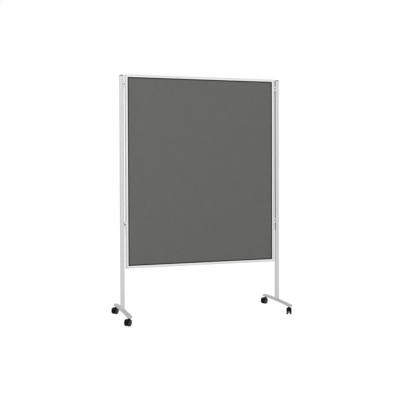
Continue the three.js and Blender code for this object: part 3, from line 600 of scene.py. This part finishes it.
def felt_sheet(name, node, side, seed):
    half_height = FELT_FLAT[1] / 2
    lip_x, lip_z = PANEL_HALF_WIDTH - FRAME_FACE, PANEL_HALF_HEIGHT - FRAME_FACE
    columns, rows = stations(FELT_EDGE, lip_x, 30), stations(half_height, lip_z, 36)
    bm = bmesh.new()
    painted_edge_shade = bm.verts.layers.float.new("painted_edge_shade")

    def layer(height_at):
        grid = []
        for z in rows:
            line = []
            for x in columns:
                inside = min(lip_x - abs(x), lip_z - abs(z)) / PRESSED_SHADE_BAND
                swell = max(0.0, min(1.0, (inside - PRESSED_FLAT) / (1 - PRESSED_FLAT)))
                swell = swell * swell * (3 - 2 * swell)
                vertex = bm.verts.new((x, side * height_at(swell, x, z), PANEL_MIDDLE.z + z))
                # Painted shade weight: 1 where the felt lies flat beside the lip, 0 where it has swollen.
                vertex[painted_edge_shade] = 1 - swell
                line.append(vertex)
            grid.append(line)
        return grid

    def surface(swell, x, z):
        wave = noise.noise(Vector((x * 9, seed, z * 9))) * UNEVENNESS
        share = PRESSED_SHARE + (1 - PRESSED_SHARE) * swell
        return CORE_FACE + (FELT_PROUD - CORE_FACE) * share + wave * swell

    front, back = layer(surface), layer(lambda swell, x, z: CORE_FACE + 0.02 * MM)
    last_row, last_column = len(rows) - 1, len(columns) - 1
    for grid in (front, back):
        for i in range(last_row):
            for j in range(last_column):
                bm.faces.new((grid[i][j], grid[i][j + 1], grid[i + 1][j + 1], grid[i + 1][j]))
    border = [(0, j) for j in range(last_column)] + [(i, last_column) for i in range(last_row)]
    border += [(last_row, j) for j in range(last_column, 0, -1)] + [(i, 0) for i in range(last_row, 0, -1)]
    for k, (i, j) in enumerate(border):
        m, n = border[(k + 1) % len(border)]
        bm.faces.new((front[i][j], front[m][n], back[m][n], back[i][j]))
    sheet = finished(name, bm, "panel", [felt_finish], [node])


felt_sheet("felt_sheet_front", "felt_front", -1, 3.0)
felt_sheet("felt_sheet_rear", "felt_rear", 1, 7.0)
print("felt %.0f x %.0f mm" % (FELT_FLAT[0] / MM, FELT_FLAT[1] / MM))

# %% [markdown]
# ## The locks
# Each lock is a small die-cast block that sits over the frame's rounding and reaches to the column. The
# CAD solid already has its true shape, so a copy of it is merged, and only its edges are softened. Its
# T-shaped slide stays the CAD node. The four screws are alike, so one Geometry Nodes tree makes them:
# a domed head cut by a hexagon socket, and a shank, placed on the four points where the locks are.

# %% Lock blocks
LOCKS = [(level, side) for level in ("upper", "lower") for side in SIDES]


def merged_copy(node):
    bm = bmesh.new()
    bm.from_mesh(nodes[node].data)
    bmesh.ops.remove_doubles(bm, verts=bm.verts, dist=1e-3 * MM)
    bmesh.ops.dissolve_limit(bm, angle_limit=math.radians(0.5), verts=bm.verts, edges=bm.edges)
    for face in bm.faces:
        face.material_index = 0
    return bm


for level, side in LOCKS:
    node = f"lock_housing_{level}_{side}"
    finished(f"lock_block_{level}_{side}", merged_copy(node), "panel", [cast_metal], [node],
             bevel=0.5 * MM)
print("lock blocks:", len(LOCKS))

# %% [markdown]
# The tree takes its sizes from named inputs. Its base mesh has one point for each screw. An ellipsoid cut
# in half is the button head, a six-sided cylinder is the socket, and a round one is the shank.

# %% Lock screws from Geometry Nodes


def shape_group(name, sizes):
    """A Geometry Nodes tree from points to a mesh, with its sizes and its finish as inputs."""
    inputs = [("Points", "NodeSocketGeometry"), *sizes, ("Finish", "NodeSocketMaterial")]
    return node_group(name, "GeometryNodeTree", inputs, [("Mesh", "NodeSocketGeometry")])


def grown(group, points, values):
    """Runs a Geometry Nodes tree on points, and returns the result as a bmesh."""
    mesh = bpy.data.meshes.new("seeds")
    mesh.from_pydata([tuple(point) for point in points], [], [])
    seeds = bpy.data.objects.new("seeds", mesh)
    scene.collection.objects.link(seeds)
    step = seeds.modifiers.new("grow", "NODES")
    step.node_group = group
    sockets = {item.name: item.identifier for item in group.interface.items_tree if item.in_out == "INPUT"}
    for label, value in values.items():
        step[sockets[label]] = value
    bm = settled(seeds)
    seeds.modifiers.remove(step)
    bpy.data.objects.remove(seeds)
    return bm


def shifted(group, geometry, **how):
    return joined(group, "GeometryNodeTransform", {"Geometry": geometry, **how}).outputs[0]


def solid(group, shape, **sizes):
    return joined(group, "GeometryNodeMesh" + shape, sizes).outputs["Mesh"]


def along_z(group, value):
    return joined(group, "ShaderNodeCombineXYZ", {"Z": value}).outputs[0]


def set_out(group, points, shape, finish, taken, **turn):
    """Sets a shape on every point, makes the copies real and gives them their finish."""
    copies = joined(group, "GeometryNodeInstanceOnPoints", {"Points": points, "Instance": shape, **turn})
    real = joined(group, "GeometryNodeRealizeInstances", {"Geometry": copies.outputs[0]})
    coated = joined(group, "GeometryNodeSetMaterial", {"Geometry": real.outputs[0], "Material": finish})
    group.links.new(coated.outputs[0], taken[0])


SCREW_HEAD_HEIGHT = 3.4 * MM
CUTTER = 20 * MM


def screw_tree():
    group, size, taken = shape_group("button_screws", [
        ("Head diameter", 9.6 * MM), ("Head height", SCREW_HEAD_HEIGHT), ("Shank diameter", 4 * MM),
        ("Shank length", 8.4 * MM), ("Socket", 3 * MM)])
    radius = maths(group, "MULTIPLY", size["Head diameter"], 0.5)
    ball = solid(group, "UVSphere", Segments=48, Rings=24, Radius=radius)
    flatness = maths(group, "DIVIDE", size["Head height"], radius)
    flat = joined(group, "ShaderNodeCombineXYZ", {"X": 1.0, "Y": 1.0, "Z": flatness})
    dome = shifted(group, ball, Scale=flat.outputs[0])
    block = solid(group, "Cube", Size=(CUTTER, CUTTER, CUTTER))
    below = shifted(group, block, Translation=(0, 0, -CUTTER / 2))
    across = maths(group, "MULTIPLY", size["Socket"], 1 / math.sqrt(3))
    key = solid(group, "Cylinder", Vertices=6, Radius=across, Depth=4 * MM)
    socket = shifted(group, key, Translation=along_z(group, size["Head height"]))
    head = joined(group, "GeometryNodeMeshBoolean", {"Mesh 1": dome}, operation="DIFFERENCE", solver="EXACT")
    for tool in (below, socket):
        group.links.new(tool, head.inputs["Mesh 2"])
    thin = maths(group, "MULTIPLY", size["Shank diameter"], 0.5)
    shank = solid(group, "Cylinder", Vertices=32, Radius=thin, Depth=size["Shank length"])
    half_down = along_z(group, maths(group, "MULTIPLY", size["Shank length"], -0.5))
    screw = joined(group, "GeometryNodeJoinGeometry")
    for part in (head.outputs[0], shifted(group, shank, Translation=half_down)):
        group.links.new(part, screw.inputs[0])
    facing = shifted(group, screw.outputs[0], Rotation=(math.pi / 2, 0, 0))
    set_out(group, size["Points"], facing, size["Finish"], taken)
    return group


def screw_seat(level, side):
    low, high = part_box(f"lock_screw_{level}_{side}")
    return Vector(((low.x + high.x) / 2, low.y + SCREW_HEAD_HEIGHT, (low.z + high.z) / 2))


screws = grown(screw_tree(), [screw_seat(level, side) for level, side in LOCKS], {"Finish": blackened})
finished("lock_screws", screws, "panel", [blackened],
         [f"lock_screw_{level}_{side}" for level, side in LOCKS])
print("lock screws:", len(LOCKS))

# %% [markdown]
# ## The columns
# Each column is an extruded oval tube with a slot along its inner face, in which the locks slide. The
# outline starts at one edge of the slot and runs round the tube to the other edge. Above the slot's
# lower end the tube stays open between those edges, and below it they are joined. The foot end is cut
# to the curve of the foot bar that it stands on.

# %% Columns and caps
column_low, column_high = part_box("column_right")
COLUMN_X = (column_low.x + column_high.x) / 2
COLUMN_WIDTH, COLUMN_DEPTH = column_high.x - column_low.x, 2 * column_high.y
COLUMN_TOP = column_high.z
COLUMN_ROUND = 9 * MM
COLUMN_WALL = 2 * MM
SLOT_HALF = 7 * MM
SLOT_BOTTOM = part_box("lock_slide_lower_right")[0].z - 70 * MM
FOOT_CENTRE, FOOT_HALF_WIDTH, FOOT_HALF_HEIGHT = 73 * MM, 20 * MM, 10 * MM
FOOT_DROOP, FOOT_REACH = 6 * MM, 260 * MM
OVAL_POWER = 2.5
SEAT_GAP = 0.3 * MM
CAP_BRIM = 0.25
CAP_STEPS = 10


def slotted_outline(inset):
    """(x, y) points from one edge of the slot round to the other. The slot faces -X."""
    width, depth = COLUMN_WIDTH - 2 * inset, COLUMN_DEPTH - 2 * inset
    points = rounded_rectangle(width, depth, COLUMN_ROUND - inset, 10)[::-1]
    half = len(points) // 2
    return [(-width / 2, SLOT_HALF), *points[half:], *points[:half], (-width / 2, -SLOT_HALF)]


def foot_top(x):
    """The height of the foot bar's upper surface at x from its middle."""
    share = min(1.0, abs(x) / (FOOT_HALF_WIDTH + SEAT_GAP))
    return FOOT_CENTRE + (FOOT_HALF_HEIGHT + SEAT_GAP) * (1 - share ** OVAL_POWER) ** (1 / OVAL_POWER)


def column_tube(side, sign):
    bm = bmesh.new()
    walls = []
    for inset in (0, COLUMN_WALL):
        outline = slotted_outline(inset)
        levels = [[foot_top(x) for x, y in outline]]
        levels += [[height] * len(outline) for height in (SLOT_BOTTOM, COLUMN_TOP)]
        walls.append([[bm.verts.new((sign * (COLUMN_X + x), y, z)) for (x, y), z in zip(outline, level)]
                      for level in levels])
    outer, inner = walls
    last = len(outer[0]) - 1

    def band(low, high, i, j, part):
        bm.faces.new((low[i], low[j], high[j], high[i])).material_index = part

    # Part 1, the inner wall and the slot's sides, takes the near-black finish that paints shade inside the
    # tube.
    for wall, part in ((outer, 0), (inner, 1)):
        for level in (0, 1):
            for i in range(last):
                band(wall[level], wall[level + 1], i, i + 1, part)
        band(wall[0], wall[1], last, 0, part)
    for level in (0, 2):
        for i in range(last):
            band(outer[level], inner[level], i, i + 1, 0)
    band(outer[0], inner[0], last, 0, 0)
    for i in (0, last):
        bm.faces.new((outer[1][i], inner[1][i], inner[2][i], outer[2][i])).material_index = 1
    band(outer[1], inner[1], last, 0, 1)
    finished(f"column_tube_{side}", bm, "stand", [upright_satin, inner_wall_painted_shade],
             [f"column_{side}"])


def column_cap(side, sign):
    """A low dome with a spigot under it that fills the tube's mouth."""
    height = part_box(f"column_cap_{side}")[1].z - COLUMN_TOP
    spigot_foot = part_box(f"column_cap_{side}")[0].z
    spigot_inset = COLUMN_WALL + SEAT_GAP
    stages = [(spigot_inset, spigot_foot), (spigot_inset, COLUMN_TOP), (0, COLUMN_TOP)]
    for i in range(CAP_STEPS + 1):
        angle = math.pi / 2 * i / CAP_STEPS
        rise = CAP_BRIM + (1 - CAP_BRIM) * math.sin(angle)
        stages.append(((COLUMN_ROUND - MM) * (1 - math.cos(angle)), COLUMN_TOP + height * rise))
    rings = []
    for inset, z in stages:
        width, depth = COLUMN_WIDTH - 2 * inset, COLUMN_DEPTH - 2 * inset
        outline = rounded_rectangle(width, depth, COLUMN_ROUND - inset, 8)
        rings.append([Vector((sign * COLUMN_X + x, y, z)) for x, y in outline])
    finished(f"cap_dome_{side}", lofted(rings), "stand", [cap_plastic],
             [f"column_cap_{side}"], bevel=0.3 * MM)


for side, sign in SIDES.items():
    column_tube(side, sign)
    column_cap(side, sign)
print("columns %.0f mm high, slot from %.0f mm" % (COLUMN_TOP / MM, SLOT_BOTTOM / MM))

# %% [markdown]
# ## The feet
# A foot is a flattened oval tube whose ends hang a little lower than its middle. Its section is a
# superellipse, which is fuller than an ellipse and has no flat or corner, and a smooth plug carries the
# same outline on to a rounded nose at each end. The holes for the bolt and the castors' stems are cut
# with Boolean modifiers, because they only meet the curved underside where a drill would.

# %% Foot bars, plugs and stems
PLUG_SHOWS = 12 * MM
PLUG_SPIGOT = 10 * MM
TUBE_REACH = FOOT_REACH - PLUG_SHOWS
FOOT_WALL = 2 * MM
FOOT_POINTS = 48
FOOT_STEPS = 32
NOSE_STEPS = 12
NOSE_TIP = 0.35
BOLT_HOLE, BOLT_HEAD_HOLE, STEM_HOLE = 8.6 * MM, 14.2 * MM, 10.6 * MM
CASTOR_Y = abs(joints["swivel_front_left"]["pos_m"][1])


def foot_line(y):
    return FOOT_CENTRE - FOOT_DROOP * (abs(y) / FOOT_REACH) ** 4


def foot_ring(x, y, grow, scale=1.0):
    ring = []
    for i in range(FOOT_POINTS):
        angle = 2 * math.pi * (i + 0.5) / FOOT_POINTS
        c, s = math.cos(angle), math.sin(angle)
        across = math.copysign(abs(c) ** (2 / OVAL_POWER), c) * (FOOT_HALF_WIDTH + grow) * scale
        rise = math.copysign(abs(s) ** (2 / OVAL_POWER), s) * (FOOT_HALF_HEIGHT + grow) * scale
        ring.append(Vector((x + across, y, foot_line(y) + rise)))
    return ring


def bar_of(x, reach, grow):
    places = [reach * (2 * i / FOOT_STEPS - 1) for i in range(FOOT_STEPS + 1)]
    return lofted([foot_ring(x, y, grow) for y in places])


def pin(diameter, low, high, x=0.0, y=0.0, segments=48):
    bm = turned([(0, low), (diameter / 2, low), (diameter / 2, high), (0, high)], segments)
    return moved(bm, Matrix.Translation((x, y, 0)))


def foot_tube(side, x):
    ceiling = FOOT_CENTRE + FOOT_HALF_HEIGHT
    cuts = [bar_of(x, TUBE_REACH + MM, -FOOT_WALL), pin(BOLT_HOLE, FOOT_CENTRE, ceiling + MM, x),
            pin(BOLT_HEAD_HOLE, FOOT_CENTRE - 2 * FOOT_HALF_HEIGHT, FOOT_CENTRE, x)]
    cuts += [pin(STEM_HOLE, 0, foot_line(CASTOR_Y), x, end * CASTOR_Y) for end in (-1, 1)]
    bm = carved(bar_of(x, TUBE_REACH, 0), [], cuts)
    finished(f"foot_tube_{side}", bm, "stand", [silver_paint], [f"foot_bar_{side}"])


def foot_nose(side, x, end, sign):
    brim = TUBE_REACH + SEAT_GAP / 2
    rings = [foot_ring(x, sign * y, -FOOT_WALL - SEAT_GAP) for y in (TUBE_REACH - PLUG_SPIGOT, brim)]
    for i in range(NOSE_STEPS + 1):
        angle = math.pi / 2 * i / NOSE_STEPS
        y = brim + (PLUG_SHOWS - SEAT_GAP / 2) * math.sin(angle)
        shrink = NOSE_TIP + (1 - NOSE_TIP) * math.sqrt(max(math.cos(angle), 0) * 0.999 + 0.001)
        rings.append(foot_ring(x, sign * y, 0, shrink))
    finished(f"foot_nose_{end}_{side}", lofted(rings), "stand", [silver_paint],
             [f"foot_plug_{end}_{side}"], bevel=0.25 * MM)


for side, sign in SIDES.items():
    foot_tube(side, sign * COLUMN_X)
    foot_nose(side, sign * COLUMN_X, "front", -1)
    foot_nose(side, sign * COLUMN_X, "rear", 1)
print("feet %.0f mm long" % (2 * FOOT_REACH / MM))

# %% [markdown]
# ## The castors
# A twin-wheel castor is the most intricate part of this object. A moulded hood bends over two wheels,
# with a web between them that carries the axle and a socket for the stem. The front ones also have a
# brake pedal in a slot of the web. Each piece is drawn in millimetres about the swivel axis, with the
# axle towards +X, and one matrix per castor turns it to the way it stands in the photo.

# %% Castor places
WHEEL_RADIUS = 25.0
WHEEL_INNER, WHEEL_WIDTH = 7.0, 13.5
AXLE_BORE = 8.6
HOOD_INNER, HOOD_RIM, HOOD_BULGE = 26.2, 0.6, 2.2
HOOD_HALF_WIDTH, HOOD_START, HOOD_END = 18.8, 24, 174
WEB_WIDTH, WEB_RADIUS, WEB_BOTTOM = 10.0, 21.0, 12.0
WEB_SETBACK = 0.5
WELD = 0.002
SOCKET_RADIUS, SOCKET_TOP, SOCKET_DEPTH = 6.4, 55.0, 22.0
COLLAR_RADIUS, COLLAR_HEIGHT = 9.5, 5.5
STEM_BORE = 10.4
CASTORS = ["front_left", "rear_left", "front_right", "rear_right"]
BRAKED = [name for name in CASTORS if f"brake_{name}" in joints]


def joint_place(name):
    return Vector(joints[name]["pos_m"])


def castor_matrix(name):
    """Where the castor stands and how it is turned, from its swivel and the direction of its axle."""
    pivot = joint_place(f"swivel_{name}")
    axle = joints[f"spin_a_{name}"]["axis"]
    heading = Matrix.Rotation(math.atan2(-axle[0], axle[1]), 4, "Z")
    return Matrix.Translation((pivot.x, pivot.y, 0)) @ heading @ Matrix.Scale(MM, 4)


AXLE_MIDDLE = (joint_place("spin_a_front_left") + joint_place("spin_b_front_left")) / 2
TRAIL = (AXLE_MIDDLE - joint_place("swivel_front_left")).xy.length / MM


def about_axle(radius, angle):
    """The (x, z) point at a distance and an angle in degrees from the axle."""
    turn = math.radians(angle)
    return (TRAIL + radius * math.cos(turn), WHEEL_RADIUS + radius * math.sin(turn))


def axle_arc(radius, start, end, steps):
    return arc((TRAIL, WHEEL_RADIUS), radius, start, end, steps)


ON_AXLE = Matrix.Translation((TRAIL, 0, WHEEL_RADIUS)) @ Matrix.Rotation(math.pi / 2, 4, "X")


print("trail %.1f mm, braked: %s" % (TRAIL, ", ".join(BRAKED)))

# %% [markdown]
# ### The hood
# The crown is a curved plate: its section is laid round the axle ring by ring, thick in the middle and
# thin at the sides. The web is a flat plate on an outline of arcs, and the socket is turned. Boolean
# modifiers join the three and then cut the bores and, on a braked castor, the pedal's notch and slot.

# %% Hood
CROWN_COLUMNS, CROWN_ROWS = 16, 48
BULGE_MARGIN = 0.6
PIVOT_ANGLE, PIVOT_RADIUS = 66, 22.5
HUB_DIAMETER, TRUNNION = 6.4, 3.0
LEVER_WIDTH, TIP_WIDTH, TONGUE_WIDTH = 12.6, 24.0, 4.6
LEVER_THICKNESS = 2.4
LEVER_TOP, TIP_ANGLE = 70, 18
NOTCH_TOP = PIVOT_ANGLE - 6
PLAY = 1.2
ALONG_Y = Matrix.Rotation(math.pi / 2, 4, "X")


def crown():
    section = []
    for i in range(CROWN_COLUMNS + 1):
        y = HOOD_HALF_WIDTH * (2 * i / CROWN_COLUMNS - 1)
        bulge = math.sqrt(1 - (y / (HOOD_HALF_WIDTH + BULGE_MARGIN)) ** 2)
        section.append((HOOD_INNER + HOOD_RIM + HOOD_BULGE * bulge, y))
    section += [(HOOD_INNER, HOOD_HALF_WIDTH), (HOOD_INNER, 0), (HOOD_INNER, -HOOD_HALF_WIDTH)]
    rings = []
    for step in range(CROWN_ROWS + 1):
        angle = HOOD_START + (HOOD_END - HOOD_START) * step / CROWN_ROWS
        places = [(about_axle(radius, angle), y) for radius, y in section]
        rings.append([Vector((x, y, z)) for (x, z), y in places])
    return lofted(rings)


def web(braked):
    dip = math.degrees(math.asin((WHEEL_RADIUS - WEB_BOTTOM) / WEB_RADIUS))
    front = NOTCH_TOP if braked else HOOD_START + WEB_SETBACK
    end = HOOD_END - WEB_SETBACK
    outline = axle_arc(WEB_RADIUS, -dip, front, 20) + axle_arc(HOOD_INNER + HOOD_RIM, front, end, 28)
    return sheet_of(outline + axle_arc(WEB_RADIUS, end, 180 + dip, 12), WEB_WIDTH)


def socket():
    foot, brim = SOCKET_TOP - SOCKET_DEPTH, SOCKET_TOP - COLLAR_HEIGHT
    return turned([(0, foot - 3), (SOCKET_RADIUS, foot - 1), (SOCKET_RADIUS, brim - 2),
                   (COLLAR_RADIUS, brim), (COLLAR_RADIUS, SOCKET_TOP - 1), (COLLAR_RADIUS - 1, SOCKET_TOP),
                   (0, SOCKET_TOP)], 48)


def pivot_pin(reach, room=0.0):
    """The pedal's hub with a thinner trunnion on each side, made larger all round by the room."""
    hub, thin = (HUB_DIAMETER + room) / 2, TRUNNION / 2 + room / 6
    step = (TONGUE_WIDTH + room) / 2
    profile = [(0, -reach), (thin, -reach), (thin, -step), (hub, -step)]
    profile += [(radius, -height) for radius, height in reversed(profile)]
    x, z = about_axle(PIVOT_RADIUS, PIVOT_ANGLE)
    return moved(moved(turned(profile, 32), ALONG_Y), Matrix.Translation((x, 0, z)))


def arch(width, inner, outer, start, end, steps):
    """A plate bent round the axle, between two radii and two angles."""
    return sheet_of(axle_arc(inner, start, end, steps) + axle_arc(outer, end, start, steps), width)


def notch(width, radius, start, end):
    return arch(width + PLAY, radius, 2 * WHEEL_RADIUS, start, end, 12)


def pedal_openings():
    return [notch(LEVER_WIDTH, HOOD_INNER - 2, 0, NOTCH_TOP),
            notch(LEVER_WIDTH, HOOD_INNER + HOOD_RIM, PIVOT_ANGLE - 8, LEVER_TOP + 2.5),
            notch(TIP_WIDTH, HOOD_INNER - 2, 0, TIP_ANGLE + 13),
            notch(TONGUE_WIDTH, PIVOT_RADIUS, PIVOT_ANGLE - 12, PIVOT_ANGLE + 10),
            pivot_pin(WHEEL_INNER, PLAY)]


def hood(braked):
    stem_bore = pin(STEM_BORE, SOCKET_TOP - SOCKET_DEPTH, SOCKET_TOP + 1)
    axle_bore = moved(pin(AXLE_BORE, -WHEEL_WIDTH, WHEEL_WIDTH), ON_AXLE)
    openings = pedal_openings() if braked else []
    return carved(crown(), [web(braked), socket()], [stem_bore, axle_bore, *openings], WELD)


for name in CASTORS:
    shell = moved(hood(name in BRAKED), castor_matrix(name))
    finished(f"hood_shell_{name}", shell, f"castor_{name}", [moulded_black],
             [f"castor_hood_{name}"], bevel=0.3 * MM)
print("hoods:", len(CASTORS))

# %% [markdown]
# ### The wheels
# A wheel is turned from one profile: a tread with a rounded shoulder, a ring-shaped hollow and a raised
# hub cap. The tread is soft black plastic and the middle is dark grey. The short ribs in the hollow
# repeat round the hub, so a Geometry Nodes tree sets one on each point of a circle, turned outwards.

# %% Wheels
WHEEL_BORE = 4.2
TREAD_ROUND = 3.9
RIB_DEPTH = 2.1


def rib_tree():
    group, size, taken = shape_group("hub_ribs", [
        ("Count", 8), ("Circle radius", 12.2), ("Rib length", 9.4), ("Rib width", 1.5), ("Rib height", 1.6)])
    circle = solid(group, "Circle", Vertices=size["Count"], Radius=size["Circle radius"])
    edges = joined(group, "ShaderNodeCombineXYZ",
                   {"X": size["Rib length"], "Y": size["Rib width"], "Z": size["Rib height"]})
    rib = solid(group, "Cube", Size=edges.outputs[0])
    number = joined(group, "GeometryNodeInputIndex").outputs[0]
    share = maths(group, "DIVIDE", number, size["Count"])
    outwards = along_z(group, maths(group, "MULTIPLY", share, 2 * math.pi))
    set_out(group, circle, rib, size["Finish"], taken, Rotation=outwards)
    return group


RIBS = rib_tree()


def wheel():
    """One wheel about Z, with its inner face at the foot of its axle."""
    bore, rim, face = WHEEL_BORE, WHEEL_RADIUS, WHEEL_WIDTH
    inside = [(0, face - 3), (bore, face - 3), (bore, 0), (bore + 4, 0), (bore + 4.6, 3), (rim - 5, 3),
              (rim - 4, 0), (rim - 0.6, 0), (rim, 0.6), (rim, face - TREAD_ROUND)]
    shoulder = arc((rim - TREAD_ROUND, face - TREAD_ROUND), TREAD_ROUND, 18, 90, 4)
    hollow = [(rim - 5.0, face - 0.2), (rim - 5.9, face - 1.0), (rim - 6.5, face - 1.9),
              (rim - 8, face - 2.2)]
    cap = [(8.0, face - 2.3), (7.3, face - 1.6), (6.6, face - 1.0), (3.4, face - 0.7), (0, face - 0.6)]
    return turned(inside + shoulder + hollow + cap, 72, second_from=len(inside + shoulder) + 1)


def ribs():
    bm = grown(RIBS, [(0, 0, 0)], {"Finish": hub_grey})
    for face in bm.faces:
        face.material_index = 1
    return moved(bm, Matrix.Translation((0, 0, WHEEL_WIDTH - RIB_DEPTH)))


def added(bm, other):
    """Adds a second bmesh to the first."""
    mesh = bpy.data.meshes.new("part")
    other.to_mesh(mesh)
    other.free()
    bm.from_mesh(mesh)
    bpy.data.meshes.remove(mesh)
    return bm


for name in CASTORS:
    for label, turn_over in (("a", 0), ("b", math.pi)):
        bm = moved(added(wheel(), ribs()), Matrix.Translation((0, 0, WHEEL_INNER)))
        place = castor_matrix(name) @ ON_AXLE @ Matrix.Rotation(turn_over, 4, "X")
        finished(f"wheel_tread_{label}_{name}", moved(bm, place), f"wheel_{label}_{name}",
                 [tread_black, hub_grey], [f"castor_wheel_{label}_{name}"], bevel=0.2 * MM)
print("wheels:", 2 * len(CASTORS))

# %% [markdown]
# ### The brake pedals and stems
# The pedal is a curved lever with a wide tip. It is joined from a few plates on arcs round the axle, and
# three grooves in the tip give the shoe some grip. The stem is a turned steel pin with a flange that
# bears on the underside of the foot.

# %% Pedals and stems
TIP_LIFT, TIP_STEP = 1.6, 2.2
GROOVES = (-4.4, -2.4, 0.6)
STEM_RADIUS = 5.0


def plate(width, corners):
    """A plate whose corners are (radius, angle) pairs about the axle."""
    return sheet_of([about_axle(*corner) for corner in corners], width)


def pedal():
    inner = HOOD_INNER + 1.6
    outer = inner + LEVER_THICKNESS
    top, shoe = outer + TIP_STEP, inner + TIP_LIFT
    tip = plate(TIP_WIDTH, [(top, TIP_ANGLE - 6), (top, TIP_ANGLE - 1), (outer - 0.2, TIP_ANGLE + 9),
                            (shoe, TIP_ANGLE + 6), (shoe, TIP_ANGLE - 5)])
    tongue = plate(TONGUE_WIDTH, [(inner + 1, PIVOT_ANGLE - 6), (inner + 1, PIVOT_ANGLE + 3),
                                  (PIVOT_RADIUS, PIVOT_ANGLE + 7), (PIVOT_RADIUS, PIVOT_ANGLE - 7)])
    grooves = []
    for angle in GROOVES:
        x, z = about_axle(top + 0.2, TIP_ANGLE + angle)
        groove = moved(pin(1.0, -TIP_WIDTH, TIP_WIDTH, segments=16), ALONG_Y)
        grooves.append(moved(groove, Matrix.Translation((x, 0, z))))
    lever = arch(LEVER_WIDTH, inner, outer, TIP_ANGLE, LEVER_TOP, 18)
    return carved(lever, [tip, tongue, pivot_pin(WEB_WIDTH / 2 - 0.3)], grooves, WELD)


def stem(name):
    """A turned pin, with a flange between the socket and the underside of the foot."""
    low, high = (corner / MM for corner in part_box(f"castor_stem_{name}"))
    foot, top, shaft, flange = low.z, high.z, STEM_RADIUS, (high.x - low.x) / 2
    shelf = SOCKET_TOP + 0.3
    seat = (foot_line(CASTOR_Y + flange * MM) - FOOT_HALF_HEIGHT) / MM - 0.3
    return turned([(0, foot), (shaft - 1, foot), (shaft, foot + 1), (shaft, shelf), (flange - 0.5, shelf),
                   (flange, shelf + 0.5), (flange, seat - 0.5), (flange - 0.5, seat), (shaft, seat),
                   (shaft, top - 0.6), (shaft - 0.6, top), (0, top)], 48)


for name in BRAKED:
    finished(f"pedal_lever_{name}", moved(pedal(), castor_matrix(name)), f"pedal_{name}",
             [moulded_black], [f"brake_pedal_{name}"], bevel=0.25 * MM)
for name in CASTORS:
    finished(f"stem_pin_{name}", moved(stem(name), castor_matrix(name)), "stand",
             [bright_zinc], [f"castor_stem_{name}"])
print("pedals:", len(BRAKED), "stems:", len(CASTORS), "pieces made:", len(made))

# %% [markdown]
# ## The rest of the CAD pieces
# The pieces inside the frame, the columns and the castors keep their CAD solids and only get a finish.
# The board's core is fibreboard and the foot inserts are black. The rest is zinc-plated steel: the corner
# keys, the slides, the bolts and the axles.

# %% Finishes for the CAD pieces that stay
NOT_ZINC = {"board_core": board_finish, "base_plug": moulded_black}
for name, node in nodes.items():
    if node.hide_render:
        continue
    coat = next((coat for start, coat in NOT_ZINC.items() if name.startswith(start)), bright_zinc)
    node.data.materials.clear()
    node.data.materials.append(coat)
print("CAD pieces that stay:", sum(not node.hide_render for node in nodes.values()))
